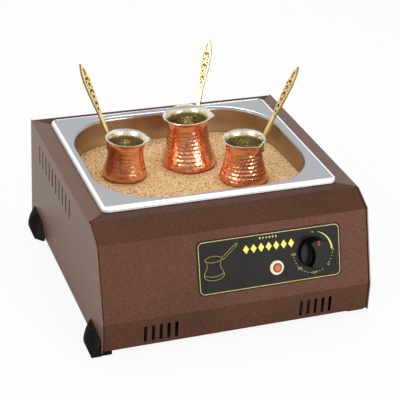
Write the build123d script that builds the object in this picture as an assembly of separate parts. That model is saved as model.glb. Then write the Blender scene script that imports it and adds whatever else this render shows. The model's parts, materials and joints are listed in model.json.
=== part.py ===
from build123d import *
from math import cos, sin, tan, radians, degrees, atan2
import os

# Electric hot-sand coffee maker: a folded sheet casing, a lift-out sand pan over a tubular heater,
# a capillary thermostat, and three spouted copper pots standing in the sand.
# Millimetres, +Z up, front towards -Y. Everything is built about the middle of the pan, with the table at
# z = 0; build() then moves the whole so that the origin lies under the middle of its bounding box.

# ---------------------------------------------------------------- driving dimensions: casing
body_width = 365.0          # across the side panels
top_depth = 295.0           # front to back of the flat top
top_setback = 2.0           # its middle lies this far behind the middle of the pan
top_z = 153.5               # height of the flat top above the table
floor_gap = 5.0             # table to the underside of the casing, the thickness of the feet
bevel_run = 32.0            # shallow front bevel, forwards
bevel_drop = 15.2           # and downwards
panel_length = 99.7         # sloping control face, along its slope
panel_tilt = 19.1           # degrees that the control face leans back from upright
band_run = 1.6              # the lower band leans forwards by this much
sheet = 1.5                 # casing sheet thickness
fold_radius = 1.2           # inside radius of the sheet folds
edge_proud = 1.2            # side panels stand this far in front of the folded front sheet
seam_gap = 2.0              # dark joint between the front sheet and each side panel
mitre_gap = 0.4             # joint between the mitred top flanges
lip_width = 13.0            # inward returns that the panels are screwed to

pan_opening_x = 304.0       # rectangular hole in the top that the pan drops into
pan_opening_y = 244.0

slot_width = 4.5            # punched vent slots
front_slot_length = 22.5
front_slot_pitch = 10.2
front_slot_count = 5
front_slot_centre = 105.4   # middle of each group from the centre line
front_slot_z = 22.5
side_slot_length = 28.5
side_slot_pitch = 17.4
side_slot_count = 10
side_slot_z = 123.7
side_slot_back = 51.0       # rearmost side slot from the back panel
base_slot_length = 40.0     # cooling slots in the base plate, two rows
base_slot_pitch = 22.0
base_slot_count = 7
base_slot_x = 52.0          # middle of each row from the centre line

# ---------------------------------------------------------------- driving dimensions: pan and sand
rim_x = 320.0               # half-size gastronorm rim, over its rolled edge
rim_y = 260.0
rim_lift = 0.7              # skirt edge above the casing top
rim_height = 6.1            # rolled edge, skirt to crest
edge_radius = 3.2           # outside radius of the roll
rim_bead = 4.5              # width of the roll
rim_corner = 10.0
flange_drop = 0.6           # flat flange below the roll's crest
pan_wall = 1.2
well_x = 293.0              # well at the flange
well_y = 233.0
well_corner = 80.0
well_mouth_radius = 5.0
well_depth = 100.0
well_taper = 2.4            # degrees of draft
well_floor_radius = 14.0
sand_back_z = 118.5         # sand surface at the back wall
sand_rise = 0.055           # rise of the sand surface per millimetre towards the front
seal_width = 4.4            # black gasket between pan flange and casing top
fit_gap = 0.3               # between pieces of different bodies

# ---------------------------------------------------------------- driving dimensions: controls
plate_width = 196.5
plate_height = 71.0
plate_thickness = 0.8
plate_corner = 8.0
plate_u = 43.1              # places on the control face: across from the centre line
plate_v = 47.4              # and down from the upper fold
dial_u = 102.3
dial_v = 46.2
lamp_u = 51.0
lamp_v = 59.5
shaft_radius = 3.0
shaft_depth = 10.0          # into the thermostat
running_gap = 0.05
knob_radius = 19.8
knob_height = 18.0
knob_skirt = 5.5
knob_waist = 9.5            # width of the grip at its middle
knob_scoop_radius = 21.0
knob_standoff = 0.8
knob_roof = 6.0             # solid end of the grip, above the shaft's bore
mark_width = 2.4            # red inlay in the end of the grip
mark_length = 6.0
mark_inset = 5.0
lamp_bezel_radius = 9.3
lamp_lens_radius = 6.4
lamp_body_radius = 6.0
thermostat_size = (36.0, 40.0, 24.0)
thermostat_boss = 7.0
thermostat_tag_x = 9.0
thermostat_screw_x = 12.0
tag_length = 8.0
capillary_x = 10.0          # capillary tube's root, from the dial towards the centre line
capillary_depth = 15.0      # and behind the control face
lamp_tag_x = 2.6
lamp_body_length = 24.0

# ---------------------------------------------------------------- driving dimensions: heater
tray_inset = 12.0           # tray walls inside the well's sides
tray_floor_z = 30.0
tray_wall = 12.0
tray_foot = 14.0
tray_sheet = 1.2
board_thickness = 10.0
element_radius = 4.25
element_inset_x = 21.5      # outer runs inside the tray's sides
element_inset_y = 26.5      # bends inside the tray's front and back
element_run_count = 4
pin_length = 12.0
pin_gap = 6.5               # tips of its pins behind the supply wire's front lane
clamp_width = 12.0
wrap_thickness = 8.0
wrap_gap = 2.0

# ---------------------------------------------------------------- driving dimensions: feet, gland
foot_height = 24.0          # left feet: up the side panel
foot_reach = 12.5           # outside the side panel, at the table
foot_bulge = 14.2           # near the widest, a little higher up
foot_nose = 17.0            # from the rear tip forwards to the full width
foot_ridge = 25.0           # to where the ridge leaves the top edge
foot_length = 50.0          # to the outer corner on the table
foot_tail = 60.0            # to the end of the tail along the casing's lower edge
foot_inset = 14.0           # pad under the casing
foot_groove_depth = 0.8
pad_width = 26.5            # right feet: flat pads wholly under the casing
pad_setback = 6.0           # behind the casing's front
rear_foot_setback = 17.5    # rear tips from the back panel

gland_inset = 54.5          # in from the casing's left side
gland_z = 34.0
gland_bore = 3.7
gland_thread = 8.0
gland_hex = 11.0
gland_reach = 19.0          # behind the back panel
screw_head = 3.6
screw_shank = 1.9
small_head = 2.9            # thermostat screws
small_shank = 1.5
screw_play = 0.1            # screw holes, bigger all round than the shank

# ---------------------------------------------------------------- driving dimensions: terminals and wiring
terminal_offset = 44.0      # three-way block on the base plate, from the gland
terminal_setback = 20.0     # in front of the back panel
terminal_size = (34.0, 18.0, 16.0)
terminal_pitch = 10.0
wire_radius = 1.4
wire_bend = 5.0
wire_height = 5.2           # runs on the base plate, above it
wire_turn = 12.0            # first bend, from a terminal or a heater pin
earth_offset = 44.0         # earth stud, from the terminal block
earth_thread = 2.5
bulb_radius = 3.2
bulb_length = 80.0
lane_gap = 11.0             # supply wire inside the side panel's lower lip
lane_pitch = 6.0            # neutral wire beside the supply wire
lane_front = 2.5            # supply wire in front of the upper fold of the bevel

# ---------------------------------------------------------------- driving dimensions: coffee pots
pot_wall = 1.2
pot_sink = 3.0              # how deep a pot stands in the sand
pot_foot = 3.0              # radius of its rounded foot
pot_swell = 0.12            # share of the flank's curve that bulges, below the part that hollows
rim_roll = 11.0             # height of the flared rim above the neck
handle_thickness = 3.6
handle_rise = 62.0          # degrees above level
handle_pad = (9.0, 12.0)    # pad on the neck, wide and high
bracket_width = 5.6
stem_half = 2.9             # half the blade's width where it leaves the bracket
blade_half = 6.6            # and at its widest
rivet_radius = 1.5
rivet_head = 2.8
rivet_drop = 4.5            # upper rivet below the neck
rivet_pitch = 6.0

# Each pot: name, place across and from the pan's middle, lean to +X and +Y in degrees, greatest radius,
# neck and rim radii, height, bearing of its handle and of its spout, length of its handle.
pots = [
    dict(name="left", x=-84.6, y=19.0, lean=(1.4, 0.4), belly=30.6, neck=23.5, rim=28.2, height=55.5,
         handle=131.0, spout=-20.0, reach=99.0),
    dict(name="middle", x=12.8, y=32.5, lean=(-4.2, 2.3), belly=38.0, neck=27.2, rim=33.4, height=72.5,
         handle=45.5, spout=-29.0, reach=93.0),
    dict(name="right", x=67.8, y=-34.4, lean=(-3.2, 1.3), belly=33.6, neck=24.4, rim=29.0, height=59.5,
         handle=5.0, spout=-72.0, reach=102.0),
]

# ---------------------------------------------------------------- places worked out from the sizes
half_width = body_width / 2
panel_run = panel_length * sin(radians(panel_tilt))
panel_drop = panel_length * cos(radians(panel_tilt))
back_y = top_setback + top_depth / 2
top_front_y = top_setback - top_depth / 2
face_top_y = top_front_y - bevel_run
front_y = face_top_y - panel_run - band_run
face_top_z = top_z - bevel_drop
rim_low_z = top_z + rim_lift
rim_top_z = rim_low_z + rim_height
flange_z = rim_top_z - flange_drop
inner_half = half_width - sheet
base_top_z = floor_gap + 2 * sheet
tray_x = well_x - 2 * tray_inset
tray_y = well_y - 2 * tray_inset
element_span_x = tray_x - 2 * element_inset_x
element_span_y = tray_y - 2 * element_inset_y
element_pitch = element_span_x / (element_run_count - 1)
bulb_x = (element_span_x - element_pitch) / 2      # between the last two runs
gland_x = gland_inset - half_width
terminal_x = gland_x + terminal_offset
terminal_y = back_y - terminal_setback
earth_x = terminal_x + earth_offset
wire_z = base_top_z + wire_height
supply_lane_x = -(inner_half - lip_width - lane_gap)
supply_lane_y = top_front_y - lane_front
cold_end = -supply_lane_y - pin_gap - pin_length - tray_y / 2     # heater's sheath in front of the tray

# outer line of the front sheet, from the back of its bottom lip up to the back of its top flange
front_line = [
    (front_y + lip_width, floor_gap),
    (front_y, floor_gap),
    (face_top_y - panel_run, face_top_z - panel_drop),
    (face_top_y, face_top_z),
    (top_front_y, top_z),
    (-pan_opening_y / 2, top_z),
]


# ---------------------------------------------------------------- helpers
def inset_line(points, distance):
    """Move an open line of (y, z) points to its right by distance, with mitred corners."""
    moved = []
    for i, point in enumerate(points):
        here = Vector(*point)
        before = here - Vector(*points[i - 1]) if i > 0 else Vector(*points[1]) - here
        after = Vector(*points[i + 1]) - here if i < len(points) - 1 else before
        normal_in = Vector(before.Y, -before.X).normalized()
        normal_out = Vector(after.Y, -after.X).normalized()
        bisector = (normal_in + normal_out).normalized()
        shift = bisector * (distance / bisector.dot(normal_out))
        moved.append((here.X + shift.X, here.Y + shift.Y))
    return moved


def folded_strip(points, thickness, width, radius):
    """A sheet folded along an open (y, z) line, with rounded folds, extruded across the centre line."""
    outer = FilletPolyline(*points, radius=radius + thickness)
    inner = FilletPolyline(*inset_line(points, thickness), radius=radius)
    ends = [Line(outer @ 0, inner @ 0), Line(outer @ 1, inner @ 1)]
    section = make_face(Curve() + [outer, inner] + ends)
    return extrude(Plane.YZ * section, width / 2, both=True)


def side_plate(points, x, thickness):
    """A flat plate with the (y, z) outline given, its outer face at x and its body towards the centre."""
    plate = Plane.YZ * make_face(Polyline(*points, close=True))
    inwards = -thickness if x > 0 else thickness
    return Pos(x, 0, 0) * extrude(plate, inwards)


def face_plane(height=0.0):
    """Plane on the sloping control face, x across and y up its slope, raised by height."""
    normal = Vector(0, -cos(radians(panel_tilt)), sin(radians(panel_tilt)))
    return Plane(Vector(0, face_top_y, face_top_z) + normal * height, x_dir=(1, 0, 0), z_dir=normal)


def on_face(u, v, height=0.0):
    """Location on the control face, u across from the centre line and v down from the upper fold."""
    return face_plane(height).location * Pos(u, -v, 0)


def face_point(u, v, height=0.0):
    """The same place as a plain (x, y, z) point."""
    return tuple(on_face(u, v, height).position)


def at_height(a, b, z):
    """Point at height z on the line through two (y, z) points."""
    share = (z - a[1]) / (b[1] - a[1])
    return (a[0] + share * (b[0] - a[0]), z)


def half_space(a, b, c, kept):
    """Large block that ends at the plane through three points and holds the point kept."""
    origin, first, second = Vector(*a), Vector(*b) - Vector(*a), Vector(*c) - Vector(*a)
    normal = first.cross(second)
    if normal.dot(Vector(*kept) - origin) > 0:
        normal = normal * -1
    plane = Plane(origin, x_dir=first, z_dir=normal)
    return plane.location * Box(400, 400, 400, align=(Align.CENTER, Align.CENTER, Align.MAX))


def rounded_box(size_x, size_y, radius, low_z, high_z):
    """Upright box with rounded corners over the pan's middle."""
    sketch = Pos(0, 0, low_z) * RectangleRounded(size_x, size_y, radius)
    return extrude(sketch, high_z - low_z)


def tube_along(points, radii, radius):
    """Round bar along straight runs joined by tangent arcs."""
    path = FilletPolyline(*points, radius=radii)
    start = Plane(path @ 0, z_dir=path % 0)
    return sweep(start * Circle(radius), path=path)


def upright_cylinder(radius, height):
    """Cylinder that stands on z = 0."""
    return Cylinder(radius, height, align=(Align.CENTER, Align.CENTER, Align.MIN))


def upright_box(size_x, size_y, height):
    """Box that stands on z = 0."""
    return Box(size_x, size_y, height, align=(Align.CENTER, Align.CENTER, Align.MIN))


def pan_head_screw(head=screw_head, shank=screw_shank, length=8.0):
    """Pan-head screw, its head's seat at z = 0 and its shank going down."""
    crown = upright_cylinder(head, 2.2)
    crown = chamfer(crown.edges().sort_by(Axis.Z)[-1], 0.9)
    return crown + Pos(0, 0, -length) * upright_cylinder(shank, length)


def screw_hole(depth=6 * sheet):
    """Clearance hole for a screw, centred on z = 0."""
    return Cylinder(screw_shank + screw_play, depth)


# ---------------------------------------------------------------- casing
def slot_cutter(length, across):
    """Round-ended slot through a panel that faces along Y (across=False) or X (across=True)."""
    sketch = SlotOverall(length, slot_width, rotation=90)
    plane = Plane.YZ if across else Plane.XZ
    return extrude(plane * sketch, 4 * sheet, both=True)


def front_slot_places():
    """Middles of the slots in the lower band: two groups, one at each side."""
    band_y = (front_y + face_top_y - panel_run) / 2
    first = -(front_slot_count - 1) / 2 * front_slot_pitch
    for side in (-1, 1):
        for i in range(front_slot_count):
            yield Pos(side * front_slot_centre + first + i * front_slot_pitch, band_y, front_slot_z)


def mitred_flange(outer, inner):
    """Flat top flange between an outer and an inner edge, each given by its two (x, y) ends."""
    sketch = make_face(Polyline(outer[0], outer[1], inner[1], inner[0], close=True))
    return Pos(0, 0, top_z - sheet) * extrude(sketch, sheet)


def opening_corner(side, end):
    """Corner of the pan opening: side -1 left or 1 right, end -1 front or 1 back."""
    return (side * pan_opening_x / 2, end * pan_opening_y / 2)


def face_holes():
    """Holes through control face and plate for the shaft, the thermostat's screws and the lamp."""
    holes = on_face(dial_u, dial_v) * Cylinder(shaft_radius + 1.5, 6 * sheet)
    holes += on_face(lamp_u, lamp_v) * Cylinder(lamp_body_radius + screw_play, 6 * sheet)
    for side in (-1, 1):
        screw = Cylinder(small_shank + screw_play, 6 * sheet)
        holes += on_face(dial_u + side * thermostat_screw_x, dial_v) * screw
    return holes


def make_front_panel():
    """One sheet folded into bottom lip, slotted band, control face, bevel and mitred top flange."""
    width = 2 * (inner_half - seam_gap)
    panel = folded_strip(front_line, sheet, width, fold_radius)
    for side in (-1, 1):
        corner = opening_corner(side, -1)
        edge = (side * half_width, top_front_y)
        waste = make_face(Polyline(edge, corner, (side * half_width, corner[1] + 1), close=True))
        panel -= Pos(side * -mitre_gap, 0, top_z - 2 * sheet) * extrude(waste, 3 * sheet)
    for place in front_slot_places():
        panel -= place * slot_cutter(front_slot_length, False)
    return panel - face_holes()


def make_side_panel(side):
    """Flat side with its vent slots, a mitred top flange, and returns for front, back and base."""
    proud = inset_line(front_line, -edge_proud)[1:5]
    proud[0] = at_height(proud[0], proud[1], floor_gap)
    proud[-1] = at_height(proud[-2], proud[-1], top_z)
    panel = side_plate(proud + [(back_y, top_z), (back_y, floor_gap)], side * half_width, sheet)

    outer_edge = [(side * half_width, top_front_y), (side * half_width, back_y)]
    panel += mitred_flange(outer_edge, [opening_corner(side, -1), opening_corner(side, 1)])

    behind_front = inset_line(front_line, sheet)[1:5]
    behind_front[0] = at_height(behind_front[0], behind_front[1], base_top_z + screw_play)
    behind_front[-1] = at_height(behind_front[-2], behind_front[-1], top_z - sheet - fit_gap)
    front_return = folded_strip(behind_front, sheet, lip_width, fold_radius)
    panel += Pos(side * (inner_half - lip_width / 2), 0, 0) * front_return

    fold_clear = sheet + fold_radius
    back_face = back_y - sheet
    back_lip = [(back_face, floor_gap), (back_face - sheet, floor_gap),
                (back_face - sheet, top_z - fold_clear), (back_face, top_z - fold_clear)]
    panel += side_plate(back_lip, side * inner_half, lip_width)
    lip_front = front_y + lip_width + fit_gap
    base_lip = [(lip_front, floor_gap), (back_face, floor_gap),
                (back_face, floor_gap + sheet), (lip_front, floor_gap + sheet)]
    panel += side_plate(base_lip, side * inner_half, lip_width)

    for i in range(side_slot_count):
        slot_y = back_y - side_slot_back - i * side_slot_pitch
        panel -= Pos(side * half_width, slot_y, side_slot_z) * slot_cutter(side_slot_length, True)
    for y, z in back_screw_places():
        panel -= Pos(side * back_screw_x(), y, z) * Rot(90, 0, 0) * screw_hole()
    for y in foot_screw_ys(side):
        panel -= Pos(side * foot_screw_x(), y, floor_gap) * screw_hole()
    return panel


def back_screw_x():
    """Back panel screws, from the centre line, through the side panels' rear returns."""
    return inner_half - lip_width / 2


def back_screw_places():
    """Places (y, z) of the back panel screws on each side."""
    return [(back_y, z) for z in (28.0, 80.0, 132.0)]


def make_back_panel():
    """Flat back with a mitred top flange, a bottom lip and the hole for the cable gland."""
    width = 2 * (inner_half - fit_gap)
    line = [(lip_width - back_y, floor_gap), (-back_y, floor_gap),
            (-back_y, top_z), (-pan_opening_y / 2, top_z)]
    panel = mirror(folded_strip(line, sheet, width, fold_radius), about=Plane.XZ)
    notch = Box(lip_width + fit_gap, 2 * lip_width, 5 * sheet, align=(Align.MAX, Align.MAX, Align.CENTER))
    for side in (-1, 1):
        corner = opening_corner(side, 1)
        edge = (side * half_width, back_y)
        waste = make_face(Polyline(edge, corner, (side * half_width, corner[1] - 1), close=True))
        panel -= Pos(side * -mitre_gap, 0, top_z - 2 * sheet) * extrude(waste, 3 * sheet)
        place = Pos(inner_half, back_y - sheet, floor_gap) * notch
        panel -= place if side > 0 else mirror(place, about=Plane.YZ)
        for y, z in back_screw_places():
            panel -= Pos(side * back_screw_x(), y, z) * Rot(90, 0, 0) * screw_hole()
    return panel - gland_axis() * Cylinder(gland_thread + screw_play, 4 * sheet)


def make_base_plate():
    """Bottom sheet on the panels' returns, with two rows of cooling slots and its screw holes."""
    front_edge = inset_line(front_line, 2 * sheet)[1][0] + fit_gap
    back_edge = back_y - 2 * sheet - fit_gap
    width = 2 * (inner_half - fit_gap)
    middle = Pos(0, (front_edge + back_edge) / 2, base_top_z - sheet / 2)
    plate = middle * Box(width, back_edge - front_edge, sheet)
    slot = extrude(SlotOverall(base_slot_length, slot_width), 2 * sheet, both=True)
    first = -(base_slot_count - 1) / 2 * base_slot_pitch
    for row in (-1, 1):
        for i in range(base_slot_count):
            plate -= Pos(row * base_slot_x, first + i * base_slot_pitch, base_top_z) * slot
    for side in (-1, 1):
        for y in foot_screw_ys(side):
            plate -= Pos(side * foot_screw_x(), y, base_top_z) * screw_hole()
        for y in tray_screw_ys():
            plate -= Pos(side * tray_screw_x(), y, base_top_z) * screw_hole()
    return plate - Pos(earth_x, terminal_y, base_top_z) * Cylinder(earth_thread + screw_play, 4 * sheet)


# ---------------------------------------------------------------- feet
def foot_tips():
    """Rear tips of the front and of the rear left foot."""
    return [front_y + foot_length, back_y - rear_foot_setback]


def pad_fronts():
    """Front edges of the front and of the rear right pad."""
    return [front_y + pad_setback, back_y - rear_foot_setback - foot_length]


def foot_screw_x():
    """Foot screws, from the centre line."""
    return half_width - foot_inset / 2


def foot_screw_ys(side):
    """Places along Y of the foot screws on one side."""
    if side < 0:
        return [y - foot_length / 2 for y in foot_tips()]
    return [y + foot_length / 2 for y in pad_fronts()]


def foot_prism(edge):
    """Upright profile given by its outer edge, closed along the side panel and carried forwards."""
    rest = Polyline((0, foot_height), (0, 0), (foot_reach, 0))
    profile = Plane.XZ * make_face(Curve() + [edge, rest])
    return Pos(0, foot_tail, 0) * extrude(profile, foot_tail)


def foot_fin():
    """Outer part of a left foot: x outwards from the side panel, y forwards from the rear tip."""
    chord = foot_prism(Line((foot_reach, 0), (0, foot_height)))
    bulge = foot_prism(ThreePointArc((foot_reach, 0), (foot_bulge, foot_height / 3), (0, foot_height)))
    core = (1, foot_ridge, 1)
    ridge_top, corner = (0, foot_ridge, foot_height), (foot_reach, foot_length, 0)
    cheek = (0.83 * foot_bulge, 0.68 * foot_length, 0.42 * foot_height)
    fin = chord + (bulge & half_space(ridge_top, corner, cheek, core))
    nose = (0.94 * foot_bulge, foot_nose, 0)
    fin &= half_space((0, 0, 0), nose, (0, 0, foot_height), core)
    fin &= half_space((0, foot_length - 4, foot_height), (0, foot_tail, floor_gap), corner, core)
    ring = SlotOverall(15.0, 8.0, rotation=52) - SlotOverall(12.4, 5.4, rotation=52)
    groove = Plane.YZ * Pos(foot_ridge + 1.0, foot_height * 0.42) * ring
    return fin - (extrude(groove, 2 * foot_bulge) & (bulge - Pos(-foot_groove_depth, 0, 0) * bulge))


def make_left_foot(tip_y):
    """Moulded left foot: a raked, bulged fin up the side panel and a pad under the casing."""
    fin = foot_fin()
    if tip_y < 0:
        fin &= Pos(0, 0, -1) * upright_box(400, 2 * foot_length, 100)
    pad_length = foot_length - 4
    pad = Pos(-foot_inset / 2, pad_length / 2 + 3, floor_gap / 2) * Box(foot_inset, pad_length, floor_gap)
    foot = Location((-half_width, tip_y, 0), (0, 0, 180)) * (fin + pad)
    return foot - foot_bore(-foot_screw_x(), tip_y - foot_length / 2)


def make_right_foot(front):
    """Flat right foot, wholly under the casing."""
    pad = Box(pad_width, foot_length, floor_gap, align=(Align.MAX, Align.MIN, Align.MIN))
    pad = fillet(pad.edges().filter_by(Axis.Z), 3.0)
    pad = chamfer(pad.edges().group_by(Axis.Z)[0], 0.8)
    return Pos(half_width - 0.5, front, 0) * pad - foot_bore(foot_screw_x(), front + foot_length / 2)


def foot_bore(x, y):
    """Screw hole with a counterbore half-way up a foot's pad."""
    return Pos(x, y, 0) * (screw_hole(4 * floor_gap) + Cylinder(screw_head + 0.4, floor_gap))


def make_foot_screws():
    """One screw up through each foot into the base plate."""
    screws = []
    for side in (-1, 1):
        for y in foot_screw_ys(side):
            place = Pos(side * foot_screw_x(), y, floor_gap / 2) * Rot(180, 0, 0)
            screws.append(place * pan_head_screw(length=base_top_z))
    return Compound(screws)


def make_back_screws():
    """Six screws that hold the back panel to the side panels' rear returns."""
    screws = []
    for side in (-1, 1):
        for y, z in back_screw_places():
            screws.append(Pos(side * back_screw_x(), y, z) * Rot(-90, 0, 0) * pan_head_screw())
    return Compound(screws)


# ---------------------------------------------------------------- sand pan
def well_solid(grow, top):
    """Solid that fills the well, grown outwards and downwards by grow and carried up to a height."""
    size = (well_x + 2 * grow, well_y + 2 * grow, well_corner + grow)
    mouth = Pos(0, 0, flange_z) * RectangleRounded(*size)
    body = extrude(mouth, -(well_depth + grow), taper=well_taper)
    body = fillet(body.edges().group_by(Axis.Z)[0], well_floor_radius + grow)
    if top > flange_z:
        body += extrude(mouth, top - flange_z)
    return body


def flared_well(grow, level, inset, radius):
    """The well under a flat slab, the rim's outline moved in by inset, with a flared mouth at level."""
    joined = rim_block(inset, level, level + 3) + well_solid(grow, level)
    inner = [e for e in joined.edges().filter_by_position(Axis.Z, level - 0.01, level + 0.01)
             if abs(e.center().X) < well_x / 2 + grow + 0.1 and abs(e.center().Y) < well_y / 2 + grow + 0.1]
    return fillet(inner, radius)


def rim_block(inset, low_z, high_z):
    """Block with the rim's outline moved in by inset."""
    return rounded_box(rim_x - 2 * inset, rim_y - 2 * inset, rim_corner - inset, low_z, high_z)


def rolled_edge(inset, low_z, high_z):
    """The same block with its upper edge rolled over."""
    block = rim_block(inset, low_z, high_z)
    return fillet(block.edges().group_by(Axis.Z)[-1], edge_radius - inset)


def make_sand_pan():
    """Pressed steel pan: deep tapered well, flared mouth, flat flange and a rolled edge with a skirt."""
    outside = flared_well(pan_wall, flange_z - pan_wall, rim_bead, well_mouth_radius - pan_wall)
    outside -= Pos(0, 0, flange_z) * upright_box(rim_x, rim_y, well_depth)
    hollow = rolled_edge(pan_wall, rim_low_z - 1, flange_z - pan_wall)
    edge = rolled_edge(0, rim_low_z, rim_top_z) - hollow
    return edge + outside - flared_well(0, flange_z, rim_bead, well_mouth_radius)


def sand_surface():
    """Plane of the heaped sand, rising towards the front."""
    level = Plane((0, well_y / 2, sand_back_z), x_dir=(1, 0, 0), z_dir=(0, 0, 1))
    return level.rotated((-degrees(atan2(sand_rise, 1)), 0, 0))


def sand_height(y):
    """Height of the sand surface at y from the pan's middle."""
    return sand_back_z + (well_y / 2 - y) * sand_rise


def make_sand_bed():
    """Sand that fills the lower well, with a pocket for the foot of each pot."""
    above = sand_surface().location * upright_box(2 * rim_x, 3 * rim_y, 200)
    sand = well_solid(0, flange_z) - above
    for pot in pots:
        sand -= pot_location(pot) * pot_solid(pot, -fit_gap, 0)
    return sand


def make_rim_seal():
    """Square silicone gasket inside the pan's skirt, that its flange rests on."""
    size_x, size_y = rim_x - 2 * (edge_radius + 0.2), rim_y - 2 * (edge_radius + 0.2)
    hole_x, hole_y = size_x - 2 * seal_width, size_y - 2 * seal_width
    ring = rounded_box(size_x, size_y, rim_corner, top_z, flange_z - pan_wall)
    return ring - rounded_box(hole_x, hole_y, rim_corner, top_z - 1, flange_z)


# ---------------------------------------------------------------- coffee pots
def pot_location(pot):
    """Place and lean of a pot, its origin under the middle of its floor."""
    x, y = pot["x"], pot["y"]
    base_z = sand_height(pot["y"]) - pot_sink
    lean_x, lean_y = pot["lean"]
    return Location((x, y, base_z), (-lean_y, lean_x, 0))


def pot_side(pot, inset, floor):
    """Outline of a pot's side in arcs that run into each other: foot, swelling, waist and flared rim."""
    belly, neck, rim = (pot[size] - inset for size in ("belly", "neck", "rim"))
    waist_z = pot["height"] - rim_roll
    round_foot = pot_foot - floor
    turn = 2 * atan2(belly - neck, waist_z - pot_foot)
    swell = pot_swell * (waist_z - pot_foot) / sin(turn)
    meet = (belly - swell * (1 - cos(turn)), pot_foot + swell * sin(turn))
    return [
        TangentArc((belly - round_foot, floor), (belly, pot_foot), tangent=(1, 0)),
        TangentArc((belly, pot_foot), meet, tangent=(0, 1)),
        TangentArc(meet, (neck, waist_z), tangent=(-sin(turn), cos(turn))),
        TangentArc((neck, waist_z), (rim, pot["height"]), tangent=(0, 1)),
    ]


def pot_solid(pot, inset, floor, extra_top=0.0):
    """Turned body of a pot, its side moved in by inset and its underside raised to floor."""
    side = pot_side(pot, inset, floor)
    start, lip, top = side[0] @ 0, side[-1] @ 1, pot["height"] + extra_top
    rest = [Line((0, top), (0, floor)), Line((0, floor), start)]
    if extra_top:
        rest += [Line(lip, (lip.X, top)), Line((lip.X, top), (0, top))]
    else:
        rest += [Line(lip, (0, top))]
    return revolve(Plane.XZ * make_face(Curve() + side + rest), Axis.Z)


def spout_cone(pot, inset):
    """Cone that draws the rim out into a pouring lip, trimmed level with the rim."""
    start = Vector(pot["neck"] - 4.5, 0, pot["height"] - 17.0)
    tip = Vector(pot["rim"] - 1.5, 0, pot["height"] + 1.5)
    direction = tip - start
    cone = Cone(0.4, 8.2 - inset, direction.length, align=(Align.CENTER, Align.CENTER, Align.MIN))
    return Rot(0, 0, pot["spout"]) * Plane(start, z_dir=direction).location * cone


def bracket_points(pot):
    """Side view of the handle's foot: up the neck, out under the rim and away at the handle's rise."""
    half = handle_thickness / 2
    neck = pot["neck"] + half + 0.25
    neck_z = pot["height"] - rim_roll
    turn = (pot["rim"] + half + 0.8, pot["height"] - 1.5)
    rise = radians(handle_rise)
    end = (turn[0] + 20 * cos(rise), turn[1] + 20 * sin(rise))
    return [(neck, pad_z(pot) - handle_pad[1] / 2), (neck, neck_z), turn, end]


def rivet_levels(pot):
    """Heights of the two rivets."""
    upper = pot["height"] - rim_roll - rivet_drop
    return [upper - rivet_pitch, upper]


def pad_z(pot):
    """Height of the middle of the handle's pad, between the rivets."""
    return sum(rivet_levels(pot)) / 2


def rivet_axis(pot, level):
    """Location of a rivet on the pot's neck, its axis pointing out along the handle's bearing."""
    return Rot(0, 0, pot["handle"]) * Location((pot["neck"], 0, level), (0, 90, 0))


def make_pot_body(pot):
    """Copper pot: turned body with a flared neck and a spout, hollow, with two rivet holes."""
    above = Pos(0, 0, pot["height"]) * upright_box(200, 200, 60)
    outside = pot_solid(pot, 0, 0) + (spout_cone(pot, 0) - above)
    inside = pot_solid(pot, pot_wall, pot_wall, extra_top=5.0) + spout_cone(pot, pot_wall)
    body = outside - inside
    for level in rivet_levels(pot):
        body -= rivet_axis(pot, level) * Cylinder(rivet_radius + 0.05, 12)
    return pot_location(pot) * body


def openwork_blade(length):
    """Cast leaf on a slim stem: a row of holes, pairs of small ones in the scallops, an eye in the tip."""
    stem = (0.24 * length, stem_half)
    wide = [(0.45 * length, 0.74 * blade_half), (0.7 * length, blade_half), (0.88 * length, 0.76 * blade_half)]
    leaf = Spline(stem, *wide, (length, 0))
    half = [leaf, Line((length, 0), (0, 0)), Line((0, 0), (0, stem_half)), Line((0, stem_half), stem)]
    upper = make_face(Curve() + half)
    blade = upper + mirror(upper, about=Plane.XZ)
    for i in range(3):
        edge = leaf @ (0.23 + 0.22 * i)
        for side in (-1, 1):
            blade += Pos(edge.X, side * (edge.Y - 2.0)) * Circle(2.6)
            blade -= Pos(edge.X, side * (edge.Y - 2.6)) * Circle(1.2 + 0.1 * i)
        blade -= Pos((0.35 + 0.175 * i) * length, 0) * Circle(1.7 + 0.35 * i)
    ends = [(0.82 * length, 0), (0.94 * length, 0)]
    arcs = [ThreePointArc(ends[0], (0.88 * length, side * 2.4), ends[1]) for side in (-1, 1)]
    return blade - make_face(Curve() + arcs)


def make_pot_handle(pot):
    """Brass handle: a bracket riveted to the neck and a rising openwork blade."""
    points = bracket_points(pot)
    section = make_face(Polyline(*points, *inset_line(points, handle_thickness)[::-1], close=True))
    half = handle_thickness / 2
    bracket = Pos(-half, 0, 0) * extrude(Plane.XZ * section, bracket_width / 2, both=True)
    turn = (points[2][0], 0, points[2][1])
    rise = radians(handle_rise)
    blade_plane = Plane(turn, x_dir=(cos(rise), 0, sin(rise)), z_dir=(-sin(rise), 0, cos(rise)))
    blade = extrude(blade_plane * openwork_blade(pot["reach"]), half * 0.8, both=True)
    pad = Pos(points[0][0], 0, pad_z(pot)) * Box(handle_thickness, handle_pad[0], handle_pad[1])
    handle = bracket + blade + pad
    handle -= pot_solid(pot, -0.05, 0)
    handle = Rot(0, 0, pot["handle"]) * handle
    for level in rivet_levels(pot):
        handle -= rivet_axis(pot, level) * Cylinder(rivet_radius + 0.05, 16)
    return pot_location(pot) * handle


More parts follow.
